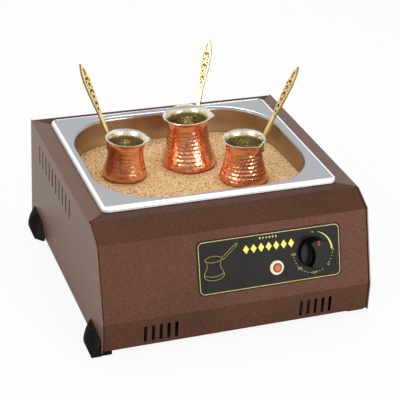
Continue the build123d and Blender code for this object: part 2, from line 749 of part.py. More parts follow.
def make_pot_rivets(pot):
    """Two rivets through bracket and neck, a flat head inside and a bevelled head outside."""
    rod = Pos(0, 0, -pot_wall - 0.6) * upright_cylinder(rivet_radius, handle_thickness + 2.6)
    head = upright_cylinder(rivet_head, 1.3)
    head = chamfer(head.edges().sort_by(Axis.Z)[-1], 0.7)
    inner = Pos(0, 0, -pot_wall - 1.6) * upright_cylinder(rivet_head - 0.4, 1.0)
    rivet = rod + Pos(0, 0, handle_thickness + 0.3) * head + inner
    rivets = [rivet_axis(pot, level) * rivet for level in rivet_levels(pot)]
    return pot_location(pot) * Compound(rivets)


# ---------------------------------------------------------------- controls
def make_control_plate():
    """Thin plate on the control face, with the same holes."""
    plate = extrude(RectangleRounded(plate_width, plate_height, plate_corner), plate_thickness)
    return on_face(plate_u, plate_v) * plate - face_holes()


def knob_low():
    """Height of the knob's underside above the control face."""
    return plate_thickness + knob_standoff


def make_knob():
    """Turned thermostat knob with a deep scoop at each side that leaves a waisted grip across it."""
    low = knob_low()
    body = Cone(knob_radius, knob_radius - 0.9, knob_height, align=(Align.CENTER, Align.CENTER, Align.MIN))
    body = fillet(body.edges().sort_by(Axis.Z)[-1], 1.2)
    for side in (-1, 1):
        middle = side * (knob_waist / 2 + knob_scoop_radius)
        scoop = Pos(middle, 0, knob_skirt) * Cylinder(knob_scoop_radius, knob_height,
                                                      align=(Align.CENTER, Align.CENTER, Align.MIN))
        body -= fillet(scoop.edges().sort_by(Axis.Z)[0], 3.0)
    body -= Cylinder(shaft_radius + running_gap, 2 * (knob_height - knob_roof))
    body -= Pos(0, knob_radius - mark_inset, knob_height) * Box(mark_width, mark_length, 1.2)
    hollow = Cylinder(knob_radius - 2.5, 2 * 3.2) - Cylinder(shaft_radius + 3.0, 2 * 4.0)
    return on_face(dial_u, dial_v, low) * (body - hollow)


def make_knob_mark():
    """Red inlay in the end of the grip."""
    mark = upright_box(mark_width, mark_length, 0.8)
    place = Pos(0, knob_radius - mark_inset, knob_height - 0.6)
    return on_face(dial_u, dial_v, knob_low()) * (place * mark)


def shaft_length():
    """Length of the thermostat's shaft, from inside the thermostat to inside the knob."""
    return shaft_depth + sheet + knob_low() + knob_height - knob_roof - 0.5


def make_shaft():
    """Thermostat shaft with the flat that drives the knob."""
    length = shaft_length()
    shaft = upright_cylinder(shaft_radius, length)
    flat = Pos(0, shaft_radius + 0.5, length - 9.0) * upright_box(2 * shaft_radius, 2.5, 9.0)
    return on_face(dial_u, dial_v, -sheet - shaft_depth) * (shaft - flat)


def make_thermostat():
    """Capillary thermostat behind the control face: square body, boss with the shaft's bore, two tags."""
    width, height, depth = thermostat_size
    box = Pos(0, 0, -sheet - depth - 2.0) * upright_box(width, height, depth)
    body = fillet(box.edges().filter_by(Axis.Z), 4.0)
    body += Pos(0, 0, -sheet - 2.0) * upright_cylinder(thermostat_boss, 2.0)
    tag = Pos(0, 0, tag_tip()) * upright_box(0.8, 6.3, tag_length)
    for side in (-1, 1):
        body += Pos(side * thermostat_tag_x, 0, 0) * tag
        body -= Pos(side * thermostat_screw_x, 0, -sheet) * Cylinder(small_shank + screw_play, 20.0)
    bore = Pos(0, 0, -sheet) * Cylinder(shaft_radius + running_gap, 2 * (shaft_depth + 0.2))
    return on_face(dial_u, dial_v) * (body - bore)


def tag_tip():
    """Height of the tips of the thermostat's tags, behind the control face."""
    return -sheet - 2.0 - thermostat_size[2] - tag_length


def make_thermostat_screws():
    """Two screws through plate and control face into the thermostat, hidden by the knob."""
    screw = pan_head_screw(small_head, small_shank, 10.0)
    places = [on_face(dial_u + side * thermostat_screw_x, dial_v, plate_thickness) for side in (-1, 1)]
    return Compound([place * screw for place in places])


def make_lamp_bezel():
    """Turned ring around the pilot lamp."""
    ring = upright_cylinder(lamp_bezel_radius, 2.6)
    ring = chamfer(ring.edges().sort_by(Axis.Z)[-1], 1.4)
    ring -= Cylinder(lamp_lens_radius + 0.05, 12.0)
    return on_face(lamp_u, lamp_v, plate_thickness) * ring


def make_lamp_lens():
    """Domed amber lens."""
    lens = upright_cylinder(lamp_lens_radius, 4.2)
    return on_face(lamp_u, lamp_v, plate_thickness) * fillet(lens.edges().sort_by(Axis.Z)[-1], 3.0)


def make_lamp_body():
    """Lamp holder through the control face, with two tags."""
    body = upright_cylinder(lamp_body_radius, lamp_body_length + plate_thickness)
    for side in (-1, 1):
        body += Pos(side * lamp_tag_x, 0, -tag_length) * upright_box(0.8, 2.8, tag_length)
    return on_face(lamp_u, lamp_v, -lamp_body_length) * body


def make_lamp_nut():
    """Hexagon nut that clamps the lamp from behind."""
    nut = extrude(RegularPolygon(9.0, 6), 3.0) - Cylinder(lamp_body_radius + 0.05, 12.0)
    return on_face(lamp_u, lamp_v, -sheet - 3.0) * nut


# ---------------------------------------------------------------- heater
def tray_screw_x():
    """Tray screws, from the centre line."""
    return tray_x / 2 + tray_foot / 2


def tray_screw_ys():
    """Places along Y of the tray's screws."""
    return [-tray_y / 3, tray_y / 3]


def crossings():
    """Places across where the element's cold ends and the thermostat's bulb line leave the tray."""
    return [-element_span_x / 2, element_span_x / 2, bulb_x]


def make_heater_tray():
    """Galvanised tray under the pan: floor with low walls on two folded legs with outward feet."""
    floor = Pos(0, 0, tray_floor_z - tray_sheet / 2) * Box(tray_x, tray_y, tray_sheet)
    walls = upright_box(tray_x, tray_y, tray_wall)
    walls -= upright_box(tray_x - 2 * tray_sheet, tray_y - 2 * tray_sheet, tray_wall)
    tray = floor + Pos(0, 0, tray_floor_z) * walls
    leg_height = tray_floor_z - base_top_z
    for side in (-1, 1):
        leg = upright_box(tray_sheet, tray_y, leg_height)
        tray += Pos(side * (tray_x - tray_sheet) / 2, 0, base_top_z) * leg
        foot = upright_box(tray_foot + tray_sheet, tray_y, tray_sheet)
        tray += Pos(side * (tray_x + tray_foot - tray_sheet) / 2, 0, base_top_z) * foot
        for y in tray_screw_ys():
            tray -= Pos(side * tray_screw_x(), y, base_top_z) * screw_hole(4 * tray_sheet)
    gap = 2 * element_radius + 2
    for x in crossings():
        tray -= Pos(x, -tray_y / 2, element_z()) * Box(gap, 4 * tray_sheet, gap)
    return tray


def make_tray_screws():
    """Four screws that hold the tray's feet to the base plate."""
    screw = pan_head_screw(length=2 * sheet + tray_sheet)
    screws = []
    for side in (-1, 1):
        for y in tray_screw_ys():
            screws.append(Pos(side * tray_screw_x(), y, base_top_z + tray_sheet) * screw)
    return Compound(screws)


def make_insulation_board():
    """Rigid ceramic-fibre board on the tray's floor."""
    board = upright_box(tray_x - 2 * tray_sheet - 1, tray_y - 2 * tray_sheet - 1, board_thickness)
    board = fillet(board.edges().filter_by(Axis.Z), 6.0)
    return Pos(0, 0, tray_floor_z) * board


def make_insulation_wrap():
    """Fibre band around the well, standing on the tray's walls."""
    gap = pan_wall + wrap_gap
    outer = gap + wrap_thickness
    low, high = tray_floor_z + tray_wall, top_z - sheet - 1
    band = rounded_box(well_x + 2 * outer, well_y + 2 * outer, well_corner + outer, low, high)
    band -= rounded_box(well_x + 2 * gap, well_y + 2 * gap, well_corner + gap, low - 1, high + 1)
    floor_ring = rounded_box(well_x + 2 * gap, well_y + 2 * gap, well_corner + gap, low, low + 3)
    floor_ring -= Pos(0, 0, low) * Box(tray_x - 2 * tray_sheet - 4, tray_y - 2 * tray_sheet - 4, 12)
    wrap = band + floor_ring
    passage = 2 * element_radius + 2
    for x in crossings():
        wrap -= Pos(x, -well_y / 2, element_z()) * Box(passage, 60, passage)
    return wrap


def element_z():
    """Height of the element's axis: on the insulation board."""
    return tray_floor_z + board_thickness + element_radius


def element_route():
    """Serpentine of straight runs in the tray, its two cold ends leaving through the front."""
    left, exit_y, z = -element_span_x / 2, -tray_y / 2 - cold_end, element_z()
    points = [(left, exit_y, z)]
    for i in range(element_run_count - 1):
        y = element_span_y / 2 if i % 2 == 0 else -element_span_y / 2
        points += [(left + i * element_pitch, y, z), (left + (i + 1) * element_pitch, y, z)]
    return points + [(-left, exit_y, z)]


def pin_point(side, out):
    """Point on the axis of a cold end's pin, measured out from the end of the sheath."""
    return (side * element_span_x / 2, -tray_y / 2 - cold_end - out, element_z())


def make_heating_element():
    """Tubular heater bent to a serpentine, with a threaded pin at each cold end."""
    tube = tube_along(element_route(), 18.0, element_radius)
    for side in (-1, 1):
        pin = upright_cylinder(1.8, pin_length)
        tube += Pos(*pin_point(side, 0)) * Rot(90, 0, 0) * pin
    return tube


def saddle(radius):
    """Sheet clamp over a bar of the given radius, its ears on the board at z = 0."""
    standing = (Align.CENTER, Align.MIN)
    outer = Pos(0, radius) * Circle(radius + 1.0) + Rectangle(2 * radius + 2, radius, align=standing)
    outer += Rectangle(2 * radius + 14, 1.0, align=standing)
    inner = Pos(0, radius) * Circle(radius + 0.05) + Rectangle(2 * radius + 0.1, radius, align=standing)
    profile = (outer - inner) & Rectangle(60, 60, align=standing)
    return extrude(Plane.XZ * profile, clamp_width / 2, both=True)


def make_element_clamps():
    """Saddle clamps that hold the element's runs down on the board."""
    first = Pos(-element_span_x / 2, 0, board_top()) * saddle(element_radius)
    return Compound([Pos(i * element_pitch, 0, 0) * first for i in range(element_run_count)])


def board_top():
    """Upper face of the insulation board."""
    return tray_floor_z + board_thickness


def make_bulb_clamp():
    """Saddle clamp over the thermostat's bulb."""
    return Pos(bulb_x, 0, board_top()) * saddle(bulb_radius)


def make_capillary():
    """Thermostat bulb on the insulation board and the thin tube that joins it to the thermostat."""
    z = board_top() + bulb_radius
    bulb_front = bulb_length / 2 - clamp_width
    root_v = dial_v + thermostat_size[1] / 2
    start = face_point(dial_u - capillary_x, root_v, -capillary_depth)
    leave = face_point(dial_u - capillary_x, root_v + 10.0, -capillary_depth)
    points = [start, leave, (leave[0], leave[1], z), (bulb_x, leave[1], z), (bulb_x, -bulb_front, z)]
    bulb = Cylinder(bulb_radius, bulb_length, align=(Align.CENTER, Align.CENTER, Align.MAX))
    return tube_along(points, 5.0, 1.0) + Pos(bulb_x, -bulb_front, z) * Rot(90, 0, 0) * bulb


# ---------------------------------------------------------------- terminals, wiring, gland
def terminal_hole(i):
    """Point inside the i-th wire hole of the terminal block, counted from the gland."""
    return (terminal_x + (i - 1) * terminal_pitch, terminal_y - 3.0, wire_z)


def make_terminal_block():
    """Ceramic three-way terminal block."""
    block = upright_box(*terminal_size)
    block = fillet(block.edges().filter_by(Axis.Z), 2.0)
    for i in (-1, 0, 1):
        block -= Pos(i * terminal_pitch, 0, terminal_size[2]) * Cylinder(2.4, 10.0)
        entry = Rot(90, 0, 0) * Cylinder(2.2, 2 * terminal_size[1])
        block -= Pos(i * terminal_pitch, 0, wire_height) * entry
    return Pos(terminal_x, terminal_y, base_top_z) * block


def make_terminal_screws():
    """Clamping screws in the terminal block."""
    screw = upright_cylinder(2.3, 4.6) - Pos(0, 0, 4.6) * Box(0.8, 6.0, 1.6)
    z = base_top_z + terminal_size[2] - 5.0
    return Compound([Pos(terminal_x + i * terminal_pitch, terminal_y, z) * screw for i in (-1, 0, 1)])


def make_earth_stud():
    """Earth stud through the base plate, its head underneath."""
    stud = Pos(0, 0, floor_gap + sheet) * upright_cylinder(earth_thread, 20.0)
    head = extrude(RegularPolygon(4.4, 6), 1.4)
    return Pos(earth_x, terminal_y, 0) * (stud + Pos(0, 0, floor_gap + sheet - 1.4) * head)


def make_earth_nuts():
    """Washer and two nuts on the earth stud, with the wire's ring between the nuts."""
    bore = Cylinder(earth_thread + 0.05, 60.0)
    lower = wire_height - 0.4
    washer = upright_cylinder(5.2, 0.8) - bore
    first = Pos(0, 0, 0.8) * (extrude(RegularPolygon(4.6, 6), lower - 0.8) - bore)
    second = Pos(0, 0, lower + 0.8) * (extrude(RegularPolygon(4.6, 6), 4.0) - bore)
    return Pos(earth_x, terminal_y, base_top_z) * Compound([washer, first, second])


def away_from(tag, y):
    """Point straight behind a tag, at the given y."""
    return (tag[0], y, tag[2] - (y - tag[1]) * tan(radians(panel_tilt)))


def make_supply_wire():
    """Live wire from the terminal block round the tray to the thermostat's first tag."""
    hole, lane_x, lane_y = terminal_hole(1), supply_lane_x, supply_lane_y
    turn_y = hole[1] - wire_turn - lane_pitch
    tag = face_point(dial_u - thermostat_tag_x, dial_v, tag_tip())
    points = [hole, (hole[0], turn_y, wire_z), (lane_x, turn_y, wire_z), (lane_x, lane_y, wire_z),
              (tag[0], lane_y, wire_z), away_from(tag, lane_y), tag]
    return tube_along(points, wire_bend, wire_radius)


def make_switched_wire():
    """Wire from the thermostat's second tag to the element, with a branch to the lamp."""
    tag = face_point(dial_u + thermostat_tag_x, dial_v, tag_tip())
    lamp = face_point(lamp_u + lamp_tag_x, lamp_v, -lamp_body_length - tag_length)
    pin = pin_point(1, pin_length)
    lane_y = pin[1] - wire_turn
    down = [tag, away_from(tag, lane_y), (pin[0], lane_y, pin[2]), pin]
    lamp_turn = away_from(lamp, lane_y)
    level = lamp_turn[2] - wire_turn
    branch = [lamp, lamp_turn, (lamp[0], lane_y, level), (pin[0] + 0.5, lane_y, level)]
    return tube_along(down, wire_bend, wire_radius) + tube_along(branch, wire_bend, wire_radius)


def make_neutral_wire():
    """Neutral wire from the terminal block round the tray to the element, with a branch to the lamp."""
    hole, lane_x, lane_y = terminal_hole(0), supply_lane_x - lane_pitch, supply_lane_y - lane_pitch - 2.0
    turn_y = hole[1] - wire_turn
    pin = pin_point(-1, pin_length)
    points = [hole, (hole[0], turn_y, wire_z), (lane_x, turn_y, wire_z), (lane_x, lane_y, wire_z),
              (pin[0], lane_y, wire_z), (pin[0], lane_y, pin[2]), pin]
    lamp = face_point(lamp_u - lamp_tag_x, lamp_v, -lamp_body_length - tag_length)
    branch = [lamp, away_from(lamp, lane_y), (lamp[0], lane_y, wire_z), (pin[0] - wire_turn, lane_y, wire_z)]
    return tube_along(points, wire_bend, wire_radius) + tube_along(branch, wire_bend, wire_radius)


def make_earth_wire():
    """Earth wire from the terminal block to its ring on the stud."""
    hole = terminal_hole(2)
    turn_y = hole[1] - wire_turn
    end = (earth_x, terminal_y - 4.0, wire_z)
    points = [hole, (hole[0], turn_y, wire_z), (earth_x, turn_y, wire_z), end]
    place = Pos(earth_x, terminal_y, wire_z)
    wire = tube_along(points, wire_bend, wire_radius) - place * Cylinder(5.0, 8.0)
    return wire + place * (Cylinder(5.4, 0.8) - Cylinder(earth_thread + 0.05, 4.0))


def gland_axis(offset=0.0):
    """Location on the back panel's outer face at the gland, z pointing out of the casing."""
    return Location((gland_x, back_y + offset, gland_z), (-90, 0, 0))


def make_gland_body():
    """Cable gland: flanged hexagon and a thread through the back panel."""
    flange = extrude(RegularPolygon(gland_hex, 6), 4.0)
    thread = Pos(0, 0, -12.0) * upright_cylinder(gland_thread, 12.0 + 11.0)
    bore = Cylinder(gland_bore + 1.8, 60.0)
    return gland_axis() * (flange + thread - bore)


def make_gland_nut():
    """Locknut inside the back panel."""
    nut = extrude(RegularPolygon(gland_hex, 6), 3.5) - Cylinder(gland_thread + 0.05, 12.0)
    return gland_axis(-sheet - 3.5) * nut


def make_gland_cap():
    """Domed hexagon cap that squeezes the seal."""
    cap = extrude(RegularPolygon(gland_hex - 0.4, 6), gland_reach - 4.4)
    dome = upright_cylinder(gland_hex - 1.4, gland_reach - 4.4)
    cap &= chamfer(dome.edges().sort_by(Axis.Z)[-1], 3.0)
    cap -= Cylinder(gland_bore, 80.0)
    cap -= Cylinder(gland_thread + 0.05, 2 * (11.0 - 4.4 + 0.05))
    return gland_axis(4.4) * cap


def make_gland_seal():
    """Rubber sleeve that grips the cable."""
    sleeve = Pos(0, 0, -9.0) * upright_cylinder(gland_bore + 1.75, 20.0)
    return gland_axis() * (sleeve - Cylinder(gland_bore, 60.0))


# ---------------------------------------------------------------- build
def make_nodes():
    """Every node by name, in the frame of construction."""
    nodes = {
        "front_panel": make_front_panel(),
        "left_side_panel": make_side_panel(-1),
        "right_side_panel": make_side_panel(1),
        "back_panel": make_back_panel(),
        "base_plate": make_base_plate(),
        "foot_screws": make_foot_screws(),
        "back_screws": make_back_screws(),
        "sand_pan": make_sand_pan(),
        "sand_bed": make_sand_bed(),
        "rim_seal": make_rim_seal(),
        "control_plate": make_control_plate(),
        "thermostat_knob": make_knob(),
        "knob_mark": make_knob_mark(),
        "thermostat_shaft": make_shaft(),
        "thermostat_body": make_thermostat(),
        "thermostat_screws": make_thermostat_screws(),
        "thermostat_bulb": make_capillary(),
        "bulb_clamp": make_bulb_clamp(),
        "lamp_bezel": make_lamp_bezel(),
        "lamp_lens": make_lamp_lens(),
        "lamp_body": make_lamp_body(),
        "lamp_nut": make_lamp_nut(),
        "heater_tray": make_heater_tray(),
        "tray_screws": make_tray_screws(),
        "insulation_board": make_insulation_board(),
        "insulation_wrap": make_insulation_wrap(),
        "heating_element": make_heating_element(),
        "element_clamps": make_element_clamps(),
        "terminal_block": make_terminal_block(),
        "terminal_screws": make_terminal_screws(),
        "earth_stud": make_earth_stud(),
        "earth_nuts": make_earth_nuts(),
        "supply_wire": make_supply_wire(),
        "switched_wire": make_switched_wire(),
        "neutral_wire": make_neutral_wire(),
        "earth_wire": make_earth_wire(),
        "gland_body": make_gland_body(),
        "gland_locknut": make_gland_nut(),
        "gland_cap": make_gland_cap(),
        "gland_seal": make_gland_seal(),
    }
    for row, tip in zip(("front", "rear"), foot_tips()):
        nodes[row + "_left_foot"] = make_left_foot(tip)
    for row, front in zip(("front", "rear"), pad_fronts()):
        nodes[row + "_right_foot"] = make_right_foot(front)
    for pot in pots:
        nodes[pot["name"] + "_pot_body"] = make_pot_body(pot)
        nodes[pot["name"] + "_pot_handle"] = make_pot_handle(pot)
        nodes[pot["name"] + "_pot_rivets"] = make_pot_rivets(pot)
    return nodes


def build():
    """Move every node to the shared frame and write it."""
    os.makedirs("parts", exist_ok=True)
    nodes = make_nodes()
    whole = Compound(list(nodes.values())).bounding_box()
    shift = Pos(-whole.center().X, -whole.center().Y, -whole.min.Z)
    for name, shape in nodes.items():
        export_step(shift * shape, "parts/" + name + ".step")


build()
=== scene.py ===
# %% [markdown]
# # Dressing an electric hot-sand coffee maker
# The solids of this machine are already made: a folded sheet casing on four feet, a steel pan of sand over a
# heater, a thermostat knob with a pilot lamp, and three copper pots. This lesson gives them their looks. A
# solid whose shape is right keeps it and gets a finish. Where the surface itself is the shape, as on hammered
# copper and heaped sand, a finer piece is modelled over the solid.

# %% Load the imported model
import json
import math
import random

import bpy
import numpy as np
from mathutils import Matrix, Vector


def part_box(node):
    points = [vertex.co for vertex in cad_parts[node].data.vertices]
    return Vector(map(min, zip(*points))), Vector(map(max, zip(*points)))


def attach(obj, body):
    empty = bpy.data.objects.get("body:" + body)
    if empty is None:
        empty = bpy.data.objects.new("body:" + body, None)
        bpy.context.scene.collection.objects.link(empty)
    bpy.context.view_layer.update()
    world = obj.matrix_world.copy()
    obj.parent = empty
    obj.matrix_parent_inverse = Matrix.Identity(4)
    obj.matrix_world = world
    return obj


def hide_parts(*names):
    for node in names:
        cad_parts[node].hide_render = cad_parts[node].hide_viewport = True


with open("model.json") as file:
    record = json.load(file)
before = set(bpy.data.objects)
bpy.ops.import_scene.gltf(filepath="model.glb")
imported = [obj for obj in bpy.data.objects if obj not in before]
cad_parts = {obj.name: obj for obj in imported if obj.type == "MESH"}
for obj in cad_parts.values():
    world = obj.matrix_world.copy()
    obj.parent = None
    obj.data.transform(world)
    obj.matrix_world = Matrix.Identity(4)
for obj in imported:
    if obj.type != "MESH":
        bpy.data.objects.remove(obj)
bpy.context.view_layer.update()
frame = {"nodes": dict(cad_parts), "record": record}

random.seed(7)

# %% [markdown]
# ## The camera
# A product is usually taken from a little above and to one side with a long lens, so that upright edges stay
# nearly parallel. The camera is placed by its position and three turns: round the upright, down, and a small
# roll about its own axis. An empty to track would do too, but it hides the roll.

# %% Camera
camera = bpy.data.objects.new("camera", bpy.data.cameras.new("camera"))
bpy.context.scene.collection.objects.link(camera)
stand = Vector((-0.5425, -1.3950, 0.9323))
turn, look_down, roll = math.radians(-21.87), math.radians(29.22), math.radians(3.57)
camera.matrix_world = (Matrix.Translation(stand) @ Matrix.Rotation(turn, 4, "Z")
                       @ Matrix.Rotation(math.pi / 2 - look_down, 4, "X") @ Matrix.Rotation(roll, 4, "Z"))
camera.data.sensor_width = 36
camera.data.lens = 113.6
bpy.context.scene.camera = camera
bpy.context.scene.view_settings.view_transform = "Standard"
print("camera", round(stand.length, 3), "m from the origin")

# %% [markdown]
# ## Floor and light
# The machine stands on a white sweep under soft boxes. The floor could be lit until it burns out to white, but
# that light would spill on the object. Here the floor is a pale surface that shows itself white to the camera,
# so the lamps stay at a plain level and the shadow under the object remains. The room is white at the level of
# the machine and dim overhead, as a studio is, so that forward-sloping sheet stays darker than upright sheet.

# %% Floor
bpy.ops.object.select_all(action="DESELECT")
bpy.ops.mesh.primitive_plane_add(size=8)
floor = bpy.context.object
floor.name = "floor"
bpy.ops.object.mode_set(mode="EDIT")
bpy.ops.mesh.subdivide(number_cuts=6)
bpy.ops.object.mode_set(mode="OBJECT")
floor_material = bpy.data.materials.new("floor")
floor_material.use_nodes = True
tree = floor_material.node_tree
paper = tree.nodes["Principled BSDF"]
paper.inputs["Base Color"].default_value = (0.86, 0.86, 0.86, 1)
paper.inputs["Roughness"].default_value = 0.32
white = tree.nodes.new("ShaderNodeEmission")
seen = tree.nodes.new("ShaderNodeLightPath")
own_white = 0.9  # share of its own white in what the camera sees
share = tree.nodes.new("ShaderNodeMath")
share.operation = "MULTIPLY"
share.inputs[1].default_value = own_white
mixed = tree.nodes.new("ShaderNodeMixShader")
tree.links.new(seen.outputs["Is Camera Ray"], share.inputs[0])
tree.links.new(share.outputs[0], mixed.inputs[0])
tree.links.new(paper.outputs[0], mixed.inputs[1])
tree.links.new(white.outputs[0], mixed.inputs[2])
tree.links.new(mixed.outputs[0], tree.nodes["Material Output"].inputs["Surface"])
floor.data.materials.append(floor_material)
print("floor", tuple(round(v, 2) for v in floor.dimensions), "white share", own_white)

# %% A room that is white low down and dim overhead
world = bpy.data.worlds.new("studio")
bpy.context.scene.world = world
world.use_nodes = True
tree = world.node_tree
fill = tree.nodes["Background"]
fill.inputs["Color"].default_value = (1, 0.98, 0.96, 1)
backdrop = tree.nodes.new("ShaderNodeBackground")
backdrop.inputs["Color"].default_value = (1, 1, 1, 1)
direction = tree.nodes.new("ShaderNodeTexCoord")
split = tree.nodes.new("ShaderNodeSeparateXYZ")
tree.links.new(direction.outputs["Generated"], split.inputs[0])
dim_from, dim_to = 0.55, 0.9
for shader, level, zenith in ((fill, 0.5, 0.22), (backdrop, 1.0, 0.3)):
    dimmer = tree.nodes.new("ShaderNodeMapRange")
    for name, number in (("From Min", dim_from), ("From Max", dim_to), ("To Min", level), ("To Max", zenith)):
        dimmer.inputs[name].default_value = number
    tree.links.new(split.outputs["Z"], dimmer.inputs["Value"])
    tree.links.new(dimmer.outputs["Result"], shader.inputs["Strength"])
print("room dims between heights", dim_from, "and", dim_to)

# %% Show the white backdrop to the camera, to metal and to glass
path = tree.nodes.new("ShaderNodeLightPath")
shows = path.outputs["Is Camera Ray"]
for ray in ("Is Glossy Ray", "Is Transmission Ray"):
    either = tree.nodes.new("ShaderNodeMath")
    either.operation = "MAXIMUM"
    tree.links.new(shows, either.inputs[0])
    tree.links.new(path.outputs[ray], either.inputs[1])
    shows = either.outputs[0]
chosen = tree.nodes.new("ShaderNodeMixShader")
tree.links.new(shows, chosen.inputs[0])
tree.links.new(fill.outputs[0], chosen.inputs[1])
tree.links.new(backdrop.outputs[0], chosen.inputs[2])
tree.links.new(chosen.outputs[0], tree.nodes["World Output"].inputs["Surface"])
print("world nodes", len(tree.nodes))


# %% Lamps
def soft_box(name, place, aim, size, watts):
    """A square area lamp at place, turned towards aim."""
    lamp = bpy.data.objects.new(name, bpy.data.lights.new(name, "AREA"))
    lamp.data.shape = "SQUARE"
    lamp.data.size = size
    lamp.data.energy = watts
    lamp.location = place
    lamp.rotation_mode = "QUATERNION"
    lamp.rotation_quaternion = (Vector(aim) - Vector(place)).to_track_quat("-Z", "Y")
    bpy.context.scene.collection.objects.link(lamp)


soft_box("left box", (-1.7, -0.7, 0.8), (0, 0, 0.12), size=0.9, watts=15)
soft_box("front box", (0.95, -2.0, 0.55), (0, -0.1, 0.1), size=0.9, watts=32)
soft_box("top box", (0.1, 0.6, 2.0), (0, 0, 0.12), size=1.3, watts=21)

# %% [markdown]
# ## A helper for finishes
# Every surface here varies a little: paint is mottled, steel is brushed, plastic is grained. All of them are
# built from the same few nodes on the object's own coordinates, so the pattern has a true size in metres and
# moves with the piece. A small class that adds and links those nodes keeps each finish to a few lines.

# %% Finish helper
def colour(red, green, blue):
    """A screen colour, 0 to 255 a channel, as the linear colour that shaders use."""
    channels = [c / 255 for c in (red, green, blue)]
    return (*[c / 12.92 if c <= 0.04045 else ((c + 0.055) / 1.055) ** 2.4 for c in channels], 1)


class Finish:
    """A material whose shader is fed by patterns on the object's coordinates."""

    def __init__(self, name, base, roughness, metallic=0.0, specular=0.5):
        self.material = bpy.data.materials.new(name)
        self.material.use_nodes = True
        self.tree = self.material.node_tree
        self.shader = self.tree.nodes["Principled BSDF"]
        coordinates = self.add("TexCoord")
        self.place, self.facing = coordinates.outputs["Object"], coordinates.outputs["Normal"]
        self.base = base
        self.set("Base Color", base)
        self.set("Roughness", roughness)
        self.set("Metallic", metallic)
        self.set("Specular IOR Level", specular)

    def fill(self, socket, value):
        """Link a socket's value, or set a plain one."""
        if isinstance(value, bpy.types.NodeSocket):
            self.tree.links.new(value, socket)
        else:
            socket.default_value = value

    def add(self, kind, **inputs):
        """Add a node and fill its inputs by name."""
        node = self.tree.nodes.new("ShaderNode" + kind)
        for name, value in inputs.items():
            self.fill(node.inputs[name.replace("_", " ")], value)
        return node

    def set(self, name, value):
        """Fill one of the shader's own inputs."""
        self.fill(self.shader.inputs[name], value)

    def stretched(self, scale):
        """The object's coordinates, squeezed along each axis by scale."""
        return self.add("Mapping", Vector=self.place, Scale=scale).outputs["Vector"]

    def noise(self, size, detail=2.0, scale=(1, 1, 1)):
        """Cloudy noise with features about size metres across, around 0.5."""
        return self.add("TexNoise", Vector=self.stretched(scale), Scale=1 / size, Detail=detail).outputs["Fac"]

    def cells(self, size, output="Distance"):
        """Cells about size metres across: the distance to their middles, or a random colour each."""
        return self.add("TexVoronoi", Vector=self.place, Scale=1 / size).outputs[output]

    def spread(self, value, low, high, to_low=0.0, to_high=1.0):
        """Stretch the part of a pattern between low and high over another range, and clip the rest."""
        node = self.add("MapRange", Value=value)
        for name, number in (("From Min", low), ("From Max", high), ("To Min", to_low), ("To Max", to_high)):
            node.inputs[name].default_value = number
        return node.outputs["Result"]

    def blend(self, share, first, second):
        """Mix two colours by share."""
        node = self.tree.nodes.new("ShaderNodeMix")
        node.data_type = "RGBA"
        by_name = {socket.identifier: socket for socket in node.inputs}
        self.fill(by_name["Factor_Float"], share)
        self.fill(by_name["A_Color"], first)
        self.fill(by_name["B_Color"], second)
        return next(socket for socket in node.outputs if socket.identifier == "Result_Color")

    def combine(self, first, second, operation="ADD"):
        """A sum or another operation on two patterns."""
        node = self.tree.nodes.new("ShaderNodeMath")
        node.operation = operation
        self.fill(node.inputs[0], first)
        self.fill(node.inputs[1], second)
        return node.outputs[0]

    def dot(self, first, second):
        """How far one direction or place lies along another."""
        node = self.tree.nodes.new("ShaderNodeVectorMath")
        node.operation = "DOT_PRODUCT"
        self.fill(node.inputs[0], first)
        self.fill(node.inputs[1], second)
        return node.outputs["Value"]

    def bump(self, height, depth, strength):
        """Tilt the shading by a pattern that is depth metres deep."""
        node = self.add("Bump", Height=height, Distance=depth, Strength=strength)
        self.set("Normal", node.outputs["Normal"])

    def mottle(self, other, size):
        """Vary the base colour towards another in soft patches."""
        share = self.spread(self.noise(size, 3.0), 0.35, 0.65)
        self.set("Base Color", self.blend(share, self.base, other))


finishes = {}
print("screen grey 128 is", round(colour(128, 128, 128)[0], 3), "to a shader")

# %% [markdown]
# ## Painted sheet
# The casing is powder coated with a fine hammertone: tiny pits a millimetre or two apart, where the pigment
# gathers a little darker. The pits could be modelled, but at this size only their shading is seen, so cells
# tilt the surface a little and a fine noise varies the colour. The side panels are glossier: a coat lies on them.
# Their paint is also given lighter, greyer tones than the front's: painted light for the stronger light on the
# sides.

# %% Casing paint
def hammertone(name, base, deep, gloss, coat):
    """Powder coat with metal flake, fine pits and a varying tone. Coat is how much clear skin lies on it."""
    finish = Finish(name, base, 0.5, metallic=0.3, specular=gloss)
    pits = finish.combine(finish.cells(0.0021), finish.noise(0.0012, 1.0), "MULTIPLY")
    grain = finish.spread(finish.noise(0.0009, 1.0), 0.3, 0.7)
    broad = finish.spread(finish.noise(0.11, 1.0), 0.3, 0.7)
    both = finish.combine(finish.combine(grain, 0.85, "MULTIPLY"), finish.combine(broad, 0.15, "MULTIPLY"))
    finish.set("Base Color", finish.blend(both, deep, base))
    finish.bump(pits, 0.0005, 0.5)
    finish.set("Coat Weight", coat)
    finish.set("Coat Roughness", 0.3)
    finish.set("Coat Tint", colour(255, 240, 222))
    return finish.material


finishes["casing_paint"] = hammertone("casing paint", colour(100, 66, 51), colour(48, 29, 21), 0.08, 0.0)
# Side paint: a real clear coat, and a lighter base and paler pits than the front paint, which is painted light for
# the stronger light on the sides.
finishes["side_paint"] = hammertone("side paint painted lighter", colour(106, 74, 57), colour(80, 54, 40), 0.3, 0.5)
print("painted finishes:", len(finishes))
